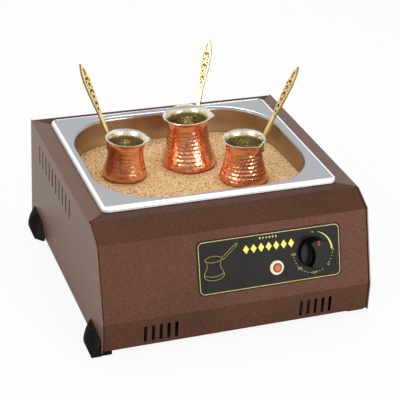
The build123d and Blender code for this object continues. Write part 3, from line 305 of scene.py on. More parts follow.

# %% [markdown]
# ## Metals
# The pan is pressed stainless steel with a satin polish. Down in the well it is painted in warm tones of the sand,
# a painted reflection of the sand, and its rolled edge is painted near white, a painted highlight. Separate pieces
# could carry those tones, but one material that measures its own place keeps the sheet whole. Zinc-coated sheet
# has large dull crystals, screws and the shaft are bright steel, and copper and brass show their age as duller
# clouds.

# %% Steel of the pan
pan_middle = Vector((0.0071, 0.0243, 0.15))
flat_half = (0.1555, 0.1255)  # the flange is flat this far from the middle, and rolls down outside it
mouth_low, mouth_high = 0.1535, 0.1585  # the sheet turns from the wall into the flange here
# Painted reflection of the sand: the well's wall gets the sand's tone below these heights, fading out between
# them.
sand_reflection_low, sand_reflection_high = 0.118, 0.138  # the wall takes on the sand's tone between these heights
steel = Finish("pan steel", colour(172, 174, 178), 0.27, metallic=1.0)
from_middle = steel.add("Mapping", Vector=steel.place, Location=-pan_middle).outputs["Vector"]
offset = steel.add("SeparateXYZ", Vector=from_middle)
past_flat = [steel.combine(steel.combine(offset.outputs[axis], 0, "ABSOLUTE"), half, "SUBTRACT")
             for axis, half in zip("XY", flat_half)]
on_roll = steel.spread(steel.combine(*past_flat, "MAXIMUM"), -0.0002, 0.0002)
height = steel.add("SeparateXYZ", Vector=steel.place).outputs["Z"]
below_mouth = steel.spread(height, mouth_low, mouth_high, 1.0, 0.0)
inner_side = steel.spread(steel.dot(from_middle, steel.facing), -0.002, 0.002, 1.0, 0.0)
not_roll = steel.combine(1, on_roll, "SUBTRACT")
in_well = steel.combine(steel.combine(below_mouth, not_roll, "MULTIPLY"), inner_side, "MULTIPLY")
print("flat flange, half sizes:", flat_half)

# %% Tones of the pan, with a painted reflection of the sand and a painted highlight on the rolled edge
clouds = steel.spread(steel.noise(0.05, 2.0), 0.35, 0.65)
sand_reflection_share = steel.spread(height, sand_reflection_low, sand_reflection_high, 1.0, 0.0)
# The well's wall is painted in the sand's warm tones, strongest near the sand: a painted reflection of the sand.
painted_sand_reflection = steel.blend(clouds, colour(150, 126, 106), colour(168, 146, 124))
painted_sand_reflection = steel.blend(sand_reflection_share, painted_sand_reflection, colour(208, 186, 160))
# The rolled edge is painted near white, with less metal and more roughness so that it reads white: a painted
# highlight.
plain = steel.blend(on_roll, steel.base, colour(244, 245, 247))
steel.set("Base Color", steel.blend(in_well, plain, painted_sand_reflection))
steel.set("Roughness", steel.combine(steel.spread(on_roll, 0, 1, 0.28, 0.42), steel.spread(in_well, 0, 1, 0, 0.1)))
steel.set("Metallic", steel.spread(on_roll, 0, 1, 1.0, 0.55))
steel.bump(steel.noise(0.0007, 2.0), 0.00001, 0.4)
finishes["pan_steel"] = steel.material
print("steel nodes:", len(steel.tree.nodes))

# %% Zinc-coated sheet
zinc = Finish("zinc sheet", colour(158, 163, 167), 0.42, metallic=0.9)
crystal = zinc.cells(0.009, "Color")
zinc.set("Roughness", zinc.spread(crystal, 0.0, 1.0, 0.3, 0.55))
zinc.mottle(colour(186, 190, 192), 0.012)
finishes["galvanised_sheet"] = zinc.material
print("zinc nodes:", len(zinc.tree.nodes))


# %% Bright metals
def bright_metal(name, base, other, roughness, size=0.02):
    """Bare metal with soft darker clouds and fine scratches."""
    finish = Finish(name, base, roughness, metallic=1.0)
    finish.mottle(other, size)
    scratches = finish.noise(0.0008, 2.0, scale=(1, 0.15, 1))
    finish.set("Roughness", finish.spread(scratches, 0.3, 0.7, roughness * 0.8, roughness * 1.25))
    finish.bump(scratches, 0.00002, 0.4)
    return finish.material


finishes["screw_steel"] = bright_metal("screw steel", colour(182, 182, 184), colour(150, 150, 154), 0.3)
finishes["shaft_steel"] = bright_metal("shaft steel", colour(190, 190, 188), colour(160, 160, 160), 0.25)
finishes["handle_brass"] = bright_metal("handle brass", colour(232, 212, 138), colour(206, 176, 100), 0.36, 0.012)
finishes["terminal_brass"] = bright_metal("terminal brass", colour(214, 186, 110), colour(180, 150, 80), 0.3)
finishes["bulb_copper"] = bright_metal("bulb copper", colour(200, 122, 84), colour(160, 92, 62), 0.3)
finishes["element_sheath"] = bright_metal("element sheath", colour(112, 104, 98), colour(78, 72, 68), 0.5)
print("metals so far:", len(finishes) - 2)

# %% Copper
copper = Finish("beaten copper", colour(240, 182, 146), 0.2, metallic=1.0)
dulled = copper.spread(copper.noise(0.012, 3.0), 0.35, 0.7)
copper.set("Base Color", copper.blend(dulled, copper.base, colour(222, 148, 112)))
copper.set("Roughness", copper.spread(copper.noise(0.004, 3.0), 0.3, 0.7, 0.13, 0.26))
copper.bump(copper.noise(0.0022, 2.0), 0.0002, 0.35)
finishes["copper"] = copper.material
print("copper nodes:", len(copper.tree.nodes))

# %% Tin: faces turned up painted bright as a highlight, the rest painted darker and olive as shade
tin = Finish("wiped tin", colour(220, 208, 170), 0.2, metallic=0.85)
wiped = tin.noise(0.006, 4.0, scale=(1, 1, 0.4))
# Faces turned upwards are painted whiter and brighter, a painted highlight; faces turned sideways or down are
# painted darker and yellower, a painted shade.
faces_up_painted_lit = tin.spread(tin.add("SeparateXYZ", Vector=tin.facing).outputs["Z"], 0.3, 0.6)
shaded_tin = tin.blend(tin.spread(wiped, 0.35, 0.65), tin.base, colour(186, 170, 118))
lit_tin = tin.blend(tin.spread(wiped, 0.35, 0.65), colour(236, 234, 226), colour(214, 210, 196))
tin.set("Base Color", tin.blend(faces_up_painted_lit, shaded_tin, lit_tin))
tin.set("Roughness", tin.spread(wiped, 0.3, 0.7, 0.15, 0.32))
tin.bump(wiped, 0.0002, 0.4)
tin_finish = tin.material
print("tin nodes:", len(tin.tree.nodes))

# %% [markdown]
# ## Plastics, rubber, ceramic and fibre
# Moulded parts have a spark-eroded grain and a few tones of colour, never one. Each could have its own nodes, but
# they differ in numbers alone, so one small function covers them.

# %% Moulded parts
def moulded(name, base, other, roughness, grain=0.0009, depth=0.00012, patches=0.015):
    """Plastic, rubber or ceramic with two close tones and a fine grain."""
    finish = Finish(name, base, roughness, specular=0.07)
    finish.mottle(other, patches)
    finish.bump(finish.noise(grain, 2.0), depth, 0.5)
    return finish.material


finishes["foot_plastic"] = moulded("foot plastic", colour(19, 16, 13), colour(12, 10, 8), 0.5)
finishes["seal_rubber"] = moulded("seal rubber", colour(34, 34, 35), colour(26, 26, 27), 0.72)
finishes["knob_plastic"] = moulded("knob plastic", colour(14, 12, 11), colour(9, 8, 7), 0.34, depth=0.00006)
finishes["mark_red"] = moulded("mark red", colour(168, 62, 62), colour(140, 48, 50), 0.45)
finishes["gland_plastic"] = moulded("gland plastic", colour(42, 42, 44), colour(33, 33, 35), 0.5)
finishes["thermostat_case"] = moulded("thermostat case", colour(60, 57, 54), colour(48, 46, 44), 0.55)
finishes["terminal_ceramic"] = moulded("ceramic", colour(232, 226, 214), colour(220, 212, 198), 0.35)
finishes["lamp_white"] = moulded("lamp bezel", colour(232, 226, 212), colour(218, 210, 194), 0.3, depth=0.00004)
finishes["board_fibre"] = moulded("fibre board", colour(214, 205, 186), colour(196, 184, 162), 0.9, 0.002, 0.0006)
finishes["wire_brown"] = moulded("brown wire", colour(104, 62, 40), colour(88, 50, 32), 0.45)
finishes["wire_blue"] = moulded("blue wire", colour(48, 96, 168), colour(38, 80, 146), 0.45)
finishes["wire_green"] = moulded("green wire", colour(96, 150, 60), colour(200, 190, 60), 0.45, patches=0.006)
finishes["plate_print"] = moulded("plate print", colour(31, 29, 26), colour(25, 23, 21), 0.42, 0.0006, 0.00003)
print("finishes so far:", len(finishes))

# %% Amber lens
amber = Finish("amber lens", colour(190, 98, 42), 0.35, specular=0.15)
amber.set("Coat Weight", 0.1)
rings = amber.cells(0.0016)
amber.set("Base Color", amber.blend(amber.spread(rings, 0.1, 0.8), colour(202, 112, 50), colour(140, 70, 30)))
amber.bump(rings, 0.0002, 0.3)
finishes["lamp_amber"] = amber.material
print("amber nodes:", len(amber.tree.nodes))

# %% [markdown]
# ## Sand
# Coffee sand is a coarse washed quartz: honey coloured, with paler and nearly black grains among it. Single
# grains are about a millimetre, too many to model. Cells of that size give each grain its own tone, and their
# distance pattern rounds each grain's shading.

# %% Sand finish
sand = Finish("quartz sand", colour(240, 198, 142), 0.85, specular=0.25)
grain_tone = sand.add("SeparateColor", Color=sand.cells(0.0013, "Color"))
warm = sand.blend(grain_tone.outputs["Red"], colour(244, 196, 132), colour(255, 228, 176))
dark_grains = sand.spread(grain_tone.outputs["Green"], 0.80, 0.87)
with_dark = sand.blend(dark_grains, warm, colour(96, 62, 34))
pale_grains = sand.spread(grain_tone.outputs["Blue"], 0.90, 0.95)
with_pale = sand.blend(pale_grains, with_dark, colour(255, 240, 212))
patch = sand.spread(sand.noise(0.03, 3.0), 0.35, 0.7)
sand.set("Base Color", sand.blend(sand.combine(patch, 0.35, "MULTIPLY"), with_pale, colour(222, 174, 118)))
sand.bump(sand.cells(0.0013), 0.0012, 0.8)
finishes["sand"] = sand.material
print("sand nodes:", len(sand.tree.nodes))

# %% [markdown]
# ## Finishes on the solids
# The record of the part names a finish for every solid. The solids could be picked one by one, but one loop over
# the record does it all: it clears each solid's slots and gives it its finish.

# %% Give every solid its finish
for part in frame["record"]["subparts"]:
    node = frame["nodes"][part["node"]]
    node.data.materials.clear()
    node.data.materials.append(finishes[part["material_slot"]])

# %% [markdown]
# ## Openwork blades
# The handles' blades are cast in brass, with a sunk diamond lattice round the holes. The high parts are polished
# by use and stay pale, while the sunk parts and the walls of the holes and rim are painted dark brown, a painted
# shade, and that contrast is what makes openwork read from afar.
# The lattice could be cut in the mesh, but it is a few tenths deep, so shading does. It is counted from the
# blade's tip, along and across the blade, so it follows the holes.

# %% Where a point lies on a blade
blade_lengths = {"left": 0.099, "middle": 0.093, "right": 0.102}


def blade_frame(node, length):
    """A blade's tip, the direction down from it, and the direction out of its face."""
    normal = max(node.data.polygons, key=lambda polygon: polygon.area).normal
    tip = max((vertex.co for vertex in node.data.vertices), key=lambda point: point.z)
    leaf = [v.co for v in node.data.vertices if (v.co - tip).length < 0.6 * length]
    down = sum(leaf, Vector()) / len(leaf) - tip
    return tip, (down - down.dot(normal) * normal).normalized(), normal


def metres_along(finish, direction, origin):
    """Metres from origin in one direction, on the object's own coordinates."""
    return finish.combine(finish.dot(finish.place, direction), direction.dot(origin), "SUBTRACT")


for side, length in blade_lengths.items():
    tip, down, normal = blade_frame(frame["nodes"][f"{side}_pot_handle"], length)
    print(side, "blade: tip", [round(v, 4) for v in tip], "down", [round(v, 2) for v in down])

# %% Sunk lattice
crown, widest, stem, narrowest = 0.20, 0.30, 0.70, 0.76  # down from the tip, in blade lengths
half_row = 0.04375  # four of these from one large hole to the next
wide_half, narrow_half = 0.0066, 0.0029  # half the blade's width, in metres


def sunk_lattice(finish, from_tip, from_axis, length):
    """1 in a blade's sunk diamonds, 0 on its bars, rim, tip and stem."""
    half_width = finish.spread(from_tip, widest * length, narrowest * length, wide_half, narrow_half)
    across = finish.combine(from_axis, half_width, "DIVIDE")
    step = half_row * length
    row = finish.combine(finish.combine(from_tip, widest * length, "SUBTRACT"), step, "PINGPONG")
    to_bar = finish.combine(finish.combine(across, finish.combine(row, step, "DIVIDE")), 1.0, "SUBTRACT")
    sunk = finish.spread(finish.combine(to_bar, 0.0, "ABSOLUTE"), 0.2, 0.4)
    for inside in (finish.spread(across, 0.62, 0.8, 1.0, 0.0),
                   finish.spread(from_tip, (crown - 0.02) * length, crown * length),
                   finish.spread(from_tip, stem * length, (stem + 0.04) * length, 1.0, 0.0)):
        sunk = finish.combine(sunk, inside, "MULTIPLY")
    return sunk


print("rows of diamonds on a blade:", round((stem - crown) / (2 * half_row), 1))


# %% Brass of the blades
def lattice_blade(node, length):
    """Brass, pale on a blade's high parts, painted dark brown as shade in its sunk lattice and on its side walls.
    """
    tip, down, normal = blade_frame(node, length)
    finish = Finish(f"{node.name} brass", colour(246, 230, 170), 0.36, metallic=0.7)
    from_tip = metres_along(finish, down, tip)
    from_axis = finish.combine(metres_along(finish, normal.cross(down), tip), 0.0, "ABSOLUTE")
    sunk = sunk_lattice(finish, from_tip, from_axis, length)
    # Side walls of the blade, round its holes and along its rim, are painted dark brown: painted shade.
    face = finish.spread(finish.combine(finish.dot(finish.facing, normal), 0.0, "ABSOLUTE"), 0.35, 0.85)
    clouds = finish.spread(finish.noise(0.012, 3.0), 0.35, 0.65)
    polished = finish.blend(clouds, finish.base, colour(236, 212, 140))
    # The sunk diamonds round the holes are painted dark brown: painted shade.
    lattice_painted_shade = finish.blend(sunk, polished, colour(116, 74, 28))
    finish.set("Base Color", finish.blend(face, colour(140, 102, 46), lattice_painted_shade))
    finish.set("Roughness", finish.spread(finish.noise(0.0008, 2.0, scale=(1, 0.15, 1)), 0.3, 0.7, 0.27, 0.42))
    finish.bump(finish.combine(1.0, sunk, "SUBTRACT"), 0.0006, 0.6)
    node.data.materials[0] = finish.material


for side, length in blade_lengths.items():
    lattice_blade(frame["nodes"][f"{side}_pot_handle"], length)
print("blades with a lattice:", list(blade_lengths))

# %% [markdown]
# ## The beaten copper pots
# Each pot is spun from sheet, drawn in at the neck, flared at the rim and beaten all over with a ball hammer,
# row above row. Its lip is then pulled out into a beak. A lathe curve with a bump pattern would give flat
# highlights, so the dents are real: a coarse cage of rings is smoothed, the cage's rim is pulled at one vertex
# for the beak, and a weight for each hammer blow drives a displacement of the smooth wall.

# %% Pot sizes
pots = {
    "left": dict(origin=(-77.49, 43.26, 120.86), axis=(0.02443, 0.00698, 0.99968), belly=30.6, neck=23.5,
                 rim=28.2, height=55.5, spout=-20.0, rows=8, blows=32, depth=0.22),
    "middle": dict(origin=(19.91, 56.76, 120.12), axis=(-0.07324, 0.04002, 0.99651), belly=38.0, neck=27.2,
                   rim=33.4, height=72.5, spout=-29.0, rows=11, blows=36, depth=0.34),
    "right": dict(origin=(74.91, -10.14, 123.80), axis=(-0.05582, 0.02265, 0.99818), belly=33.6, neck=24.4,
                  rim=29.0, height=59.5, spout=-72.0, rows=9, blows=32, depth=0.42),
}
foot_round, swell_share, rim_roll, wall = 3.0, 0.12, 11.0, 1.2
cage_sides = 24
cage_loss = (4 + 2 * math.cos(2 * math.pi / cage_sides)) / 6  # a smoothed ring is this much smaller


def side_radius(pot, z):
    """Radius of a pot's outside at a height, in millimetres: round foot, swelling, waist, flared rim."""
    belly, neck, rim = pot["belly"], pot["neck"], pot["rim"]
    waist = pot["height"] - rim_roll
    turn = 2 * math.atan2(belly - neck, waist - foot_round)
    both = (waist - foot_round) / math.sin(turn)
    swell, hollow = swell_share * both, (1 - swell_share) * both
    flare = ((rim - neck) ** 2 + rim_roll ** 2) / (2 * (rim - neck))
    if z < foot_round:
        return belly - foot_round + math.sqrt(foot_round ** 2 - (foot_round - z) ** 2)
    if z < foot_round + swell * math.sin(turn):
        return belly - swell + math.sqrt(swell ** 2 - (z - foot_round) ** 2)
    if z < waist:
        return neck + hollow - math.sqrt(hollow ** 2 - (waist - z) ** 2)
    return neck + flare - math.sqrt(flare ** 2 - (z - waist) ** 2)


def pot_rings(pot):
    """Radius and height of the cage's rings, from the floor's middle to the lip, in millimetres."""
    top, waist = pot["height"], pot["height"] - rim_roll
    flank = [4.5 + (waist - 9.0) * i / 7 for i in range(8)]
    levels = [0.3, 1.5] + flank + [waist - 1.5, waist + 2, waist + 5, waist + 8, top - 1, top]
    floor_rings = [(0.45 * pot["belly"], 0.0), (pot["belly"] - 6.0, 0.0), (pot["belly"] - 4.0, 0.0)]
    return floor_rings + [(side_radius(pot, z), z) for z in levels]


print("cage rings of a pot:", len(pot_rings(pots["middle"])))


# %% Spin the cage ring by ring
def face_outwards():
    """Turn all faces of the piece in edit mode outwards."""
    bpy.ops.mesh.select_all(action="SELECT")
    bpy.ops.mesh.normals_make_consistent(inside=False)


def pot_cage(name, pot):
    """A closed floor disc, extruded outwards and then up through all the rings."""
    rings = [(r / cage_loss / 1000, z / 1000) for r, z in pot_rings(pot)]
    bpy.ops.object.select_all(action="DESELECT")
    bpy.ops.mesh.primitive_circle_add(vertices=cage_sides, radius=rings[0][0], fill_type="NGON",
                                      rotation=(0, 0, math.radians(pot["spout"])))
    shell = bpy.context.object
    shell.name = name
    bpy.ops.object.transform_apply(location=False, rotation=True, scale=False)
    bpy.ops.object.mode_set(mode="EDIT")
    bpy.ops.mesh.select_mode(type="EDGE")
    bpy.ops.mesh.select_all(action="SELECT")
    bpy.ops.mesh.region_to_loop()
    for (r0, z0), (r1, z1) in zip(rings, rings[1:]):
        bpy.ops.mesh.extrude_edges_move(TRANSFORM_OT_translate={"value": (0, 0, z1 - z0)})
        bpy.ops.transform.resize(value=(r1 / r0, r1 / r0, 1), center_override=(0, 0, z1))
    face_outwards()
    bpy.ops.object.mode_set(mode="OBJECT")
    flank = next(face for face in shell.data.polygons if abs(face.normal.z) < 0.3)
    if flank.normal.x * flank.center.x + flank.normal.y * flank.center.y < 0:
        shell.data.flip_normals()
    return shell


print("smoothing keeps", round(cage_loss, 4), "of a ring")

# %% Pull out the beak
beak_half_angle = math.radians(9)
beak_rise = 0.12  # the lip rises by this share of the pull
# Drop below the lip, and pull outwards there.
beak_pulls = [(0.0, 0.0062), (0.001, 0.0058), (0.003, 0.0046), (0.006, 0.0030), (0.009, 0.0016), (0.0125, 0.0006)]


def pull_beak(shell, pot):
    """Move the cage's vertices in line with the beak outwards, most at the lip."""
    bearing = math.radians(pot["spout"])
    out = Vector((math.cos(bearing), math.sin(bearing), 0))
    lip = pot["height"] / 1000
    for vertex in shell.data.vertices:
        flat = Vector((vertex.co.x, vertex.co.y, 0))
        if flat.length < 1e-6 or flat.normalized().dot(out) < math.cos(beak_half_angle):
            continue
        for drop, pull in beak_pulls:
            if abs(vertex.co.z - (lip - drop)) < 2e-4:
                vertex.co += out * pull + Vector((0, 0, beak_rise * pull))


print("a beak stands out", beak_pulls[0][1] * 1000, "mm at the lip")

# %% Hammer the wall
stray_along, stray_up = 0.16, 0.10  # how far a blow strays, in blow widths and rows
blow_reach = 1.25  # half widths from a blow's middle to where its dent ends


def hammer(shell, pot):
    """Weigh every vertex by how deep in a hammer blow it lies, and push the wall in by that weight."""
    points = np.array([v.co[:] for v in shell.data.vertices]) * 1000
    angle = np.arctan2(points[:, 1], points[:, 0])
    radius = np.hypot(points[:, 0], points[:, 1])
    low, high = 1.5, pot["height"] - rim_roll - 0.5
    pitch = (high - low) / pot["rows"]
    nearest = np.full(len(points), 9.0)
    for row in range(pot["rows"]):
        for blow in range(pot["blows"]):
            at = (blow + 0.5 * (row % 2) + random.uniform(-stray_along, stray_along)) * 2 * math.pi / pot["blows"]
            level = low + (row + 0.5 + random.uniform(-stray_up, stray_up)) * pitch
            across = (angle - at + math.pi) % (2 * math.pi) - math.pi
            apart = np.hypot(across * pot["blows"] / math.pi, (points[:, 2] - level) / (0.5 * pitch))
            nearest = np.minimum(nearest, apart)
    # The blows die out below the flare and under the foot.
    fade = np.clip((high + 1.5 - points[:, 2]) / 3, 0, 1) * np.clip((radius - 0.5 * pot["belly"]) / 4, 0, 1)
    weight = np.clip(1 - (nearest / blow_reach) ** 2, 0, 1) * fade * (points[:, 2] > 0.8)
    group = shell.vertex_groups.new(name="blows")
    for index, value in enumerate(weight):
        if value > 0.01:
            group.add([index], float(value), "REPLACE")
    dents = shell.modifiers.new("dents", "DISPLACE")
    dents.vertex_group = "blows"
    dents.mid_level = 0.0
    dents.strength = -pot["depth"] / 1000


print("hammer blows:", {name: pot["rows"] * pot["blows"] for name, pot in pots.items()})


# %% Build the three pots
def select_only(*pieces):
    """Select these pieces alone, the first of them active."""
    bpy.ops.object.select_all(action="DESELECT")
    for piece in pieces:
        piece.select_set(True)
    bpy.context.view_layer.objects.active = pieces[0]


def apply_modifiers(obj):
    """Apply every modifier of an object in order."""
    select_only(obj)
    for modifier in list(obj.modifiers):
        bpy.ops.object.modifier_apply(modifier=modifier.name)


def settle(obj, place):
    """Put a piece that was modelled about its own origin in its place, in its mesh."""
    obj.data.transform(place)
    obj.matrix_world = Matrix.Identity(4)


def make_pot(name, pot):
    """Cage, beak, smooth shell, dents, wall thickness and a softened lip."""
    shell = pot_cage(name + "_pot_shell", pot)
    pull_beak(shell, pot)
    smooth = shell.modifiers.new("smooth", "SUBSURF")
    smooth.levels = smooth.render_levels = 3
    apply_modifiers(shell)
    hammer(shell, pot)
    apply_modifiers(shell)
    shell.data.materials.append(finishes["copper"])
    shell.data.materials.append(tin_finish)
    thick = shell.modifiers.new("wall", "SOLIDIFY")
    thick.thickness = wall / 1000
    thick.offset = -1
    thick.material_offset = 1
    thick.material_offset_rim = 1
    lip = shell.modifiers.new("lip", "BEVEL")
    lip.width = 0.0004
    lip.segments = 3
    lip.limit_method = "ANGLE"
    lip.angle_limit = math.radians(50)
    apply_modifiers(shell)
    bpy.ops.object.shade_smooth()
    upright = Vector(pot["axis"]).normalized()
    place = Matrix.Translation(Vector(pot["origin"]) / 1000) @ upright.to_track_quat("Z", "Y").to_matrix().to_4x4()
    bearing = place.to_3x3() @ Vector((1, 0, 0))
    back = Matrix.Rotation(-math.atan2(bearing.y, bearing.x), 4, "Z")
    settle(shell, place @ back)
    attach(shell, "pot_" + name)
    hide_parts(name + "_pot_body")
    return shell


for name, pot in pots.items():
    shell = make_pot(name, pot)
    low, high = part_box(name + "_pot_body")
    mine = [Vector(c) for c in shell.bound_box]
    print(shell.name, len(shell.data.polygons), "faces; solid", [round(v * 1000, 1) for v in high - low],
          "shell", [round((max(c[i] for c in mine) - min(c[i] for c in mine)) * 1000, 1) for i in range(3)])

# %% [markdown]
# ## The heaped sand
# The sand is level at the back and banked up towards the front. It has worked away round each pot, where the
# user turns it, and creeps up a little at the wall. A plane with displacement alone would show a square edge, so
# a fine grid is drawn to the well's rounded outline, its heights follow the bank, the hollows and a loose
# unevenness, and its edge goes down the wall of the pan.

# %% Sand piece
well_centre = Vector((7.106, 24.258)) / 1000
well_half = Vector((146.5, 116.5)) / 1000
well_corner = 0.080
well_top, well_draft = 0.1597, math.radians(2.4)  # the wall leans in by its draft from this height down
wall_gap, pot_gap = 0.0002, 0.0006  # the sand keeps this far from the steel and from a pot
sand_back, sand_rise = 0.1185, 0.055


def outline_reach(direction, half, corner):
    """Distance from the middle of a rounded rectangle to its outline, along a direction."""
    near, far = 0.0, 1.0
    for _ in range(30):
        middle = (near + far) / 2
        x, y = abs(direction[0]) * middle, abs(direction[1]) * middle
        dx, dy = x - (half[0] - corner), y - (half[1] - corner)
        inside = math.hypot(max(dx, 0), max(dy, 0)) + min(max(dx, dy), 0) < corner
        near, far = (middle, far) if inside else (near, middle)
    return near


def sand_level(y):
    """Height of the even, banked surface."""
    return sand_back + (well_half.y - (y - well_centre.y)) * sand_rise


print("sand level, back and front:", [round(sand_level(well_centre.y + way * well_half.y), 4) for way in (1, -1)])

# %% Grid drawn to the well
bpy.ops.object.select_all(action="DESELECT")
bpy.ops.mesh.primitive_grid_add(x_subdivisions=200, y_subdivisions=160, size=2)
bed = bpy.context.object
bed.name = "sand_heap"
draft = math.tan(well_draft) * (well_top - sand_back)
half = (well_half.x - draft - wall_gap, well_half.y - draft - wall_gap)
for vertex in bed.data.vertices:
    u, v = vertex.co.x, vertex.co.y
    square = max(abs(u), abs(v))
    if square > 1e-9:
        ray = Vector((u / square * half[0], v / square * half[1])).normalized()
        edge = ray * outline_reach(ray, half, well_corner - draft)
        plain = Vector((u * half[0], v * half[1]))
        spot = plain.lerp(edge * square, square ** 4)
        vertex.co = (well_centre.x + spot.x, well_centre.y + spot.y, 0)
print("half size of the bed:", [round(v, 4) for v in half])

# %% Heights of the heap
hollow_depth, hollow_width = 0.0024, 0.010
ridge_height, ridge_out, ridge_width = 0.0006, 0.019, 0.006  # sand thrown up round a hollow
creep_height, creep_width = 0.0018, 0.012  # sand climbing the wall
unevenness = 0.014


def pot_hollow(x, y, pot):
    """Depth of the hollow round a pot at a point, in metres, or None under the pot."""
    centre = Vector(pot["origin"][:2]) / 1000
    reach = math.hypot(x - centre.x, y - centre.y) - pot["belly"] / 1000
    if reach < pot_gap:
        return None
    ridge = ridge_height * math.exp(-((reach - ridge_out) / ridge_width) ** 2)
    return ridge - hollow_depth * math.exp(-(reach / hollow_width) ** 2)


loose = [(random.uniform(60, 260), random.uniform(0, 2 * math.pi), random.uniform(0, 2 * math.pi))
         for _ in range(26)]
for vertex in bed.data.vertices:
    x, y = vertex.co.x, vertex.co.y
    level = sand_level(y)
    for pitch, bearing, phase in loose:
        level += unevenness / pitch * math.sin(pitch * (x * math.cos(bearing) + y * math.sin(bearing)) + phase)
    out = Vector((x, y)) - well_centre
    to_wall = outline_reach(out.normalized(), half, well_corner - draft) - out.length
    level += creep_height * math.exp(-max(to_wall, 0) / creep_width)
    for pot in pots.values():
        hollow = pot_hollow(x, y, pot)
        level = pot["origin"][2] / 1000 - pot_gap if hollow is None else level + hollow
    vertex.co.z = level
print("sand heap", len(bed.data.polygons), "faces")

# %% Carry the edge down the wall and close it
edge_drop, edge_taper, underside = 0.03, 0.985, 0.09
bpy.ops.object.mode_set(mode="EDIT")
bpy.ops.mesh.select_all(action="SELECT")
bpy.ops.mesh.region_to_loop()
bpy.ops.mesh.extrude_edges_move(TRANSFORM_OT_translate={"value": (0, 0, -edge_drop)})
bpy.ops.transform.resize(value=(edge_taper, edge_taper, 0), center_override=(*well_centre, underside))
bpy.ops.mesh.edge_face_add()
face_outwards()
bpy.ops.object.mode_set(mode="OBJECT")
bpy.ops.object.shade_smooth()
bed.data.materials.append(finishes["sand"])
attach(bed, "pan")
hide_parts("sand_bed")
print("sand piece closed:", len(bed.data.vertices), "vertices")

# %% [markdown]
# ## Painted shade of the recesses in the screw heads
# A pan-head screw is known by the cross in its head. The heads are plain turned solids, so each one on the back
# gets a thin dark cross of four short arms drawn out from a square: painted shade that stands for the recess.

# %% Crosses in the back screws
# The near-black crosses are painted shade, standing for the shadow inside each cross recess.
recess_painted_shade = moulded("recess", colour(30, 29, 29), colour(20, 19, 19), 0.6)
cross_square, cross_arm, cross_depth = 0.0009, 0.0014, 0.00008
head_radius, screw_levels = 0.0036, (0.028, 0.080, 0.132)


def cross_recess(place):
    """A thin cross, facing along +Y, with its middle at place."""
    bpy.ops.object.select_all(action="DESELECT")
    bpy.ops.mesh.primitive_plane_add(size=cross_square)
    cross = bpy.context.object
    bpy.ops.object.mode_set(mode="EDIT")
    bpy.ops.mesh.select_mode(type="EDGE")
    for axis in (0, 1):
        for way in (-1, 1):
            bpy.ops.mesh.select_all(action="DESELECT")
            bpy.ops.object.mode_set(mode="OBJECT")
            corners = cross.data.vertices
            for edge in cross.data.edges:
                middle = (corners[edge.vertices[0]].co + corners[edge.vertices[1]].co) / 2
                edge.select = middle[axis] * way > 0.0004 and abs(middle[1 - axis]) < 0.0001
            bpy.ops.object.mode_set(mode="EDIT")
            step = [0.0, 0.0, 0.0]
            step[axis] = way * cross_arm
            bpy.ops.mesh.extrude_edges_move(TRANSFORM_OT_translate={"value": step})
    bpy.ops.mesh.select_all(action="SELECT")
    bpy.ops.mesh.extrude_region_move(TRANSFORM_OT_translate={"value": (0, 0, cross_depth)})
    face_outwards()
    bpy.ops.object.mode_set(mode="OBJECT")
    turned = Matrix.Rotation(random.uniform(0, math.pi / 2), 4, "Z")
    settle(cross, Matrix.Translation(place) @ Matrix.Rotation(math.radians(-90), 4, "X") @ turned)
    return cross


def join(name, pieces):
    """Join pieces into one."""
    select_only(*pieces)
    bpy.ops.object.join()
    pieces[0].name = name
    return pieces[0]


low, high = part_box("back_screws")
crosses = [cross_recess(Vector((x, high.y - cross_depth / 2, z)))
           for x in (low.x + head_radius, high.x - head_radius) for z in screw_levels]
painted_recess_shades = join("screw_recess_shades", crosses)
painted_recess_shades.data.materials.append(recess_painted_shade)
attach(painted_recess_shades, "casing")
print("crosses", len(crosses), "faces", len(painted_recess_shades.data.polygons))

# %% [markdown]
# ## Printing on the control plate
# The plate is screen printed in gold on charcoal. Ink has almost no thickness, but a separate thin piece keeps
# its edge sharp at any distance, which a painted texture would not. Everything is drawn flat about the plate's
# middle and then laid on its sloping face.

# %% Plate frame of reference
low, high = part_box("control_plate")
lean = math.radians(19.1)
face_normal = Vector((0, -math.cos(lean), math.sin(lean)))
face_up = Vector((0, math.sin(lean), math.cos(lean)))
plate_middle = (low + high) / 2 + face_normal * 0.0004
on_plate = Matrix.Translation(plate_middle) @ Matrix((
    (1, 0, 0, 0), (0, face_up.y, face_normal.y, 0), (0, face_up.z, face_normal.z, 0), (0, 0, 0, 1)))
ink_height = 0.00012
dial = Vector((0.0592, 0.0012))


def ink(name, tone):
    """Printed ink: an even tone with a slight mottling."""
    finish = Finish(name, colour(*tone), 0.35, specular=0.4)
    finish.mottle(colour(*[int(0.88 * c) for c in tone]), 0.003)
    return finish.material


gold_ink = ink("gold ink", (182, 164, 58))
yellow_ink = ink("yellow ink", (240, 220, 40))
pale_ink = ink("pale ink", (214, 208, 160))
print("plate middle", [round(v, 4) for v in plate_middle])


# %% Lay a flat drawing on the plate
def lay_on_plate(piece, material):
    """Give a flat mesh its ink thickness and lay it on the plate."""
    select_only(piece)
    bpy.ops.object.transform_apply(location=True, rotation=True, scale=True)
    bpy.ops.object.mode_set(mode="EDIT")
    bpy.ops.mesh.select_all(action="SELECT")
    bpy.ops.mesh.remove_doubles(threshold=0.00001)
    bpy.ops.mesh.normals_make_consistent(inside=False)
    bpy.ops.mesh.extrude_region_move(TRANSFORM_OT_translate={"value": (0, 0, ink_height)})
    face_outwards()
    bpy.ops.object.mode_set(mode="OBJECT")
    settle(piece, on_plate)
    piece.data.materials.clear()
    piece.data.materials.append(material)
    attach(piece, "casing")


print("ink is", ink_height * 1000, "mm thick")


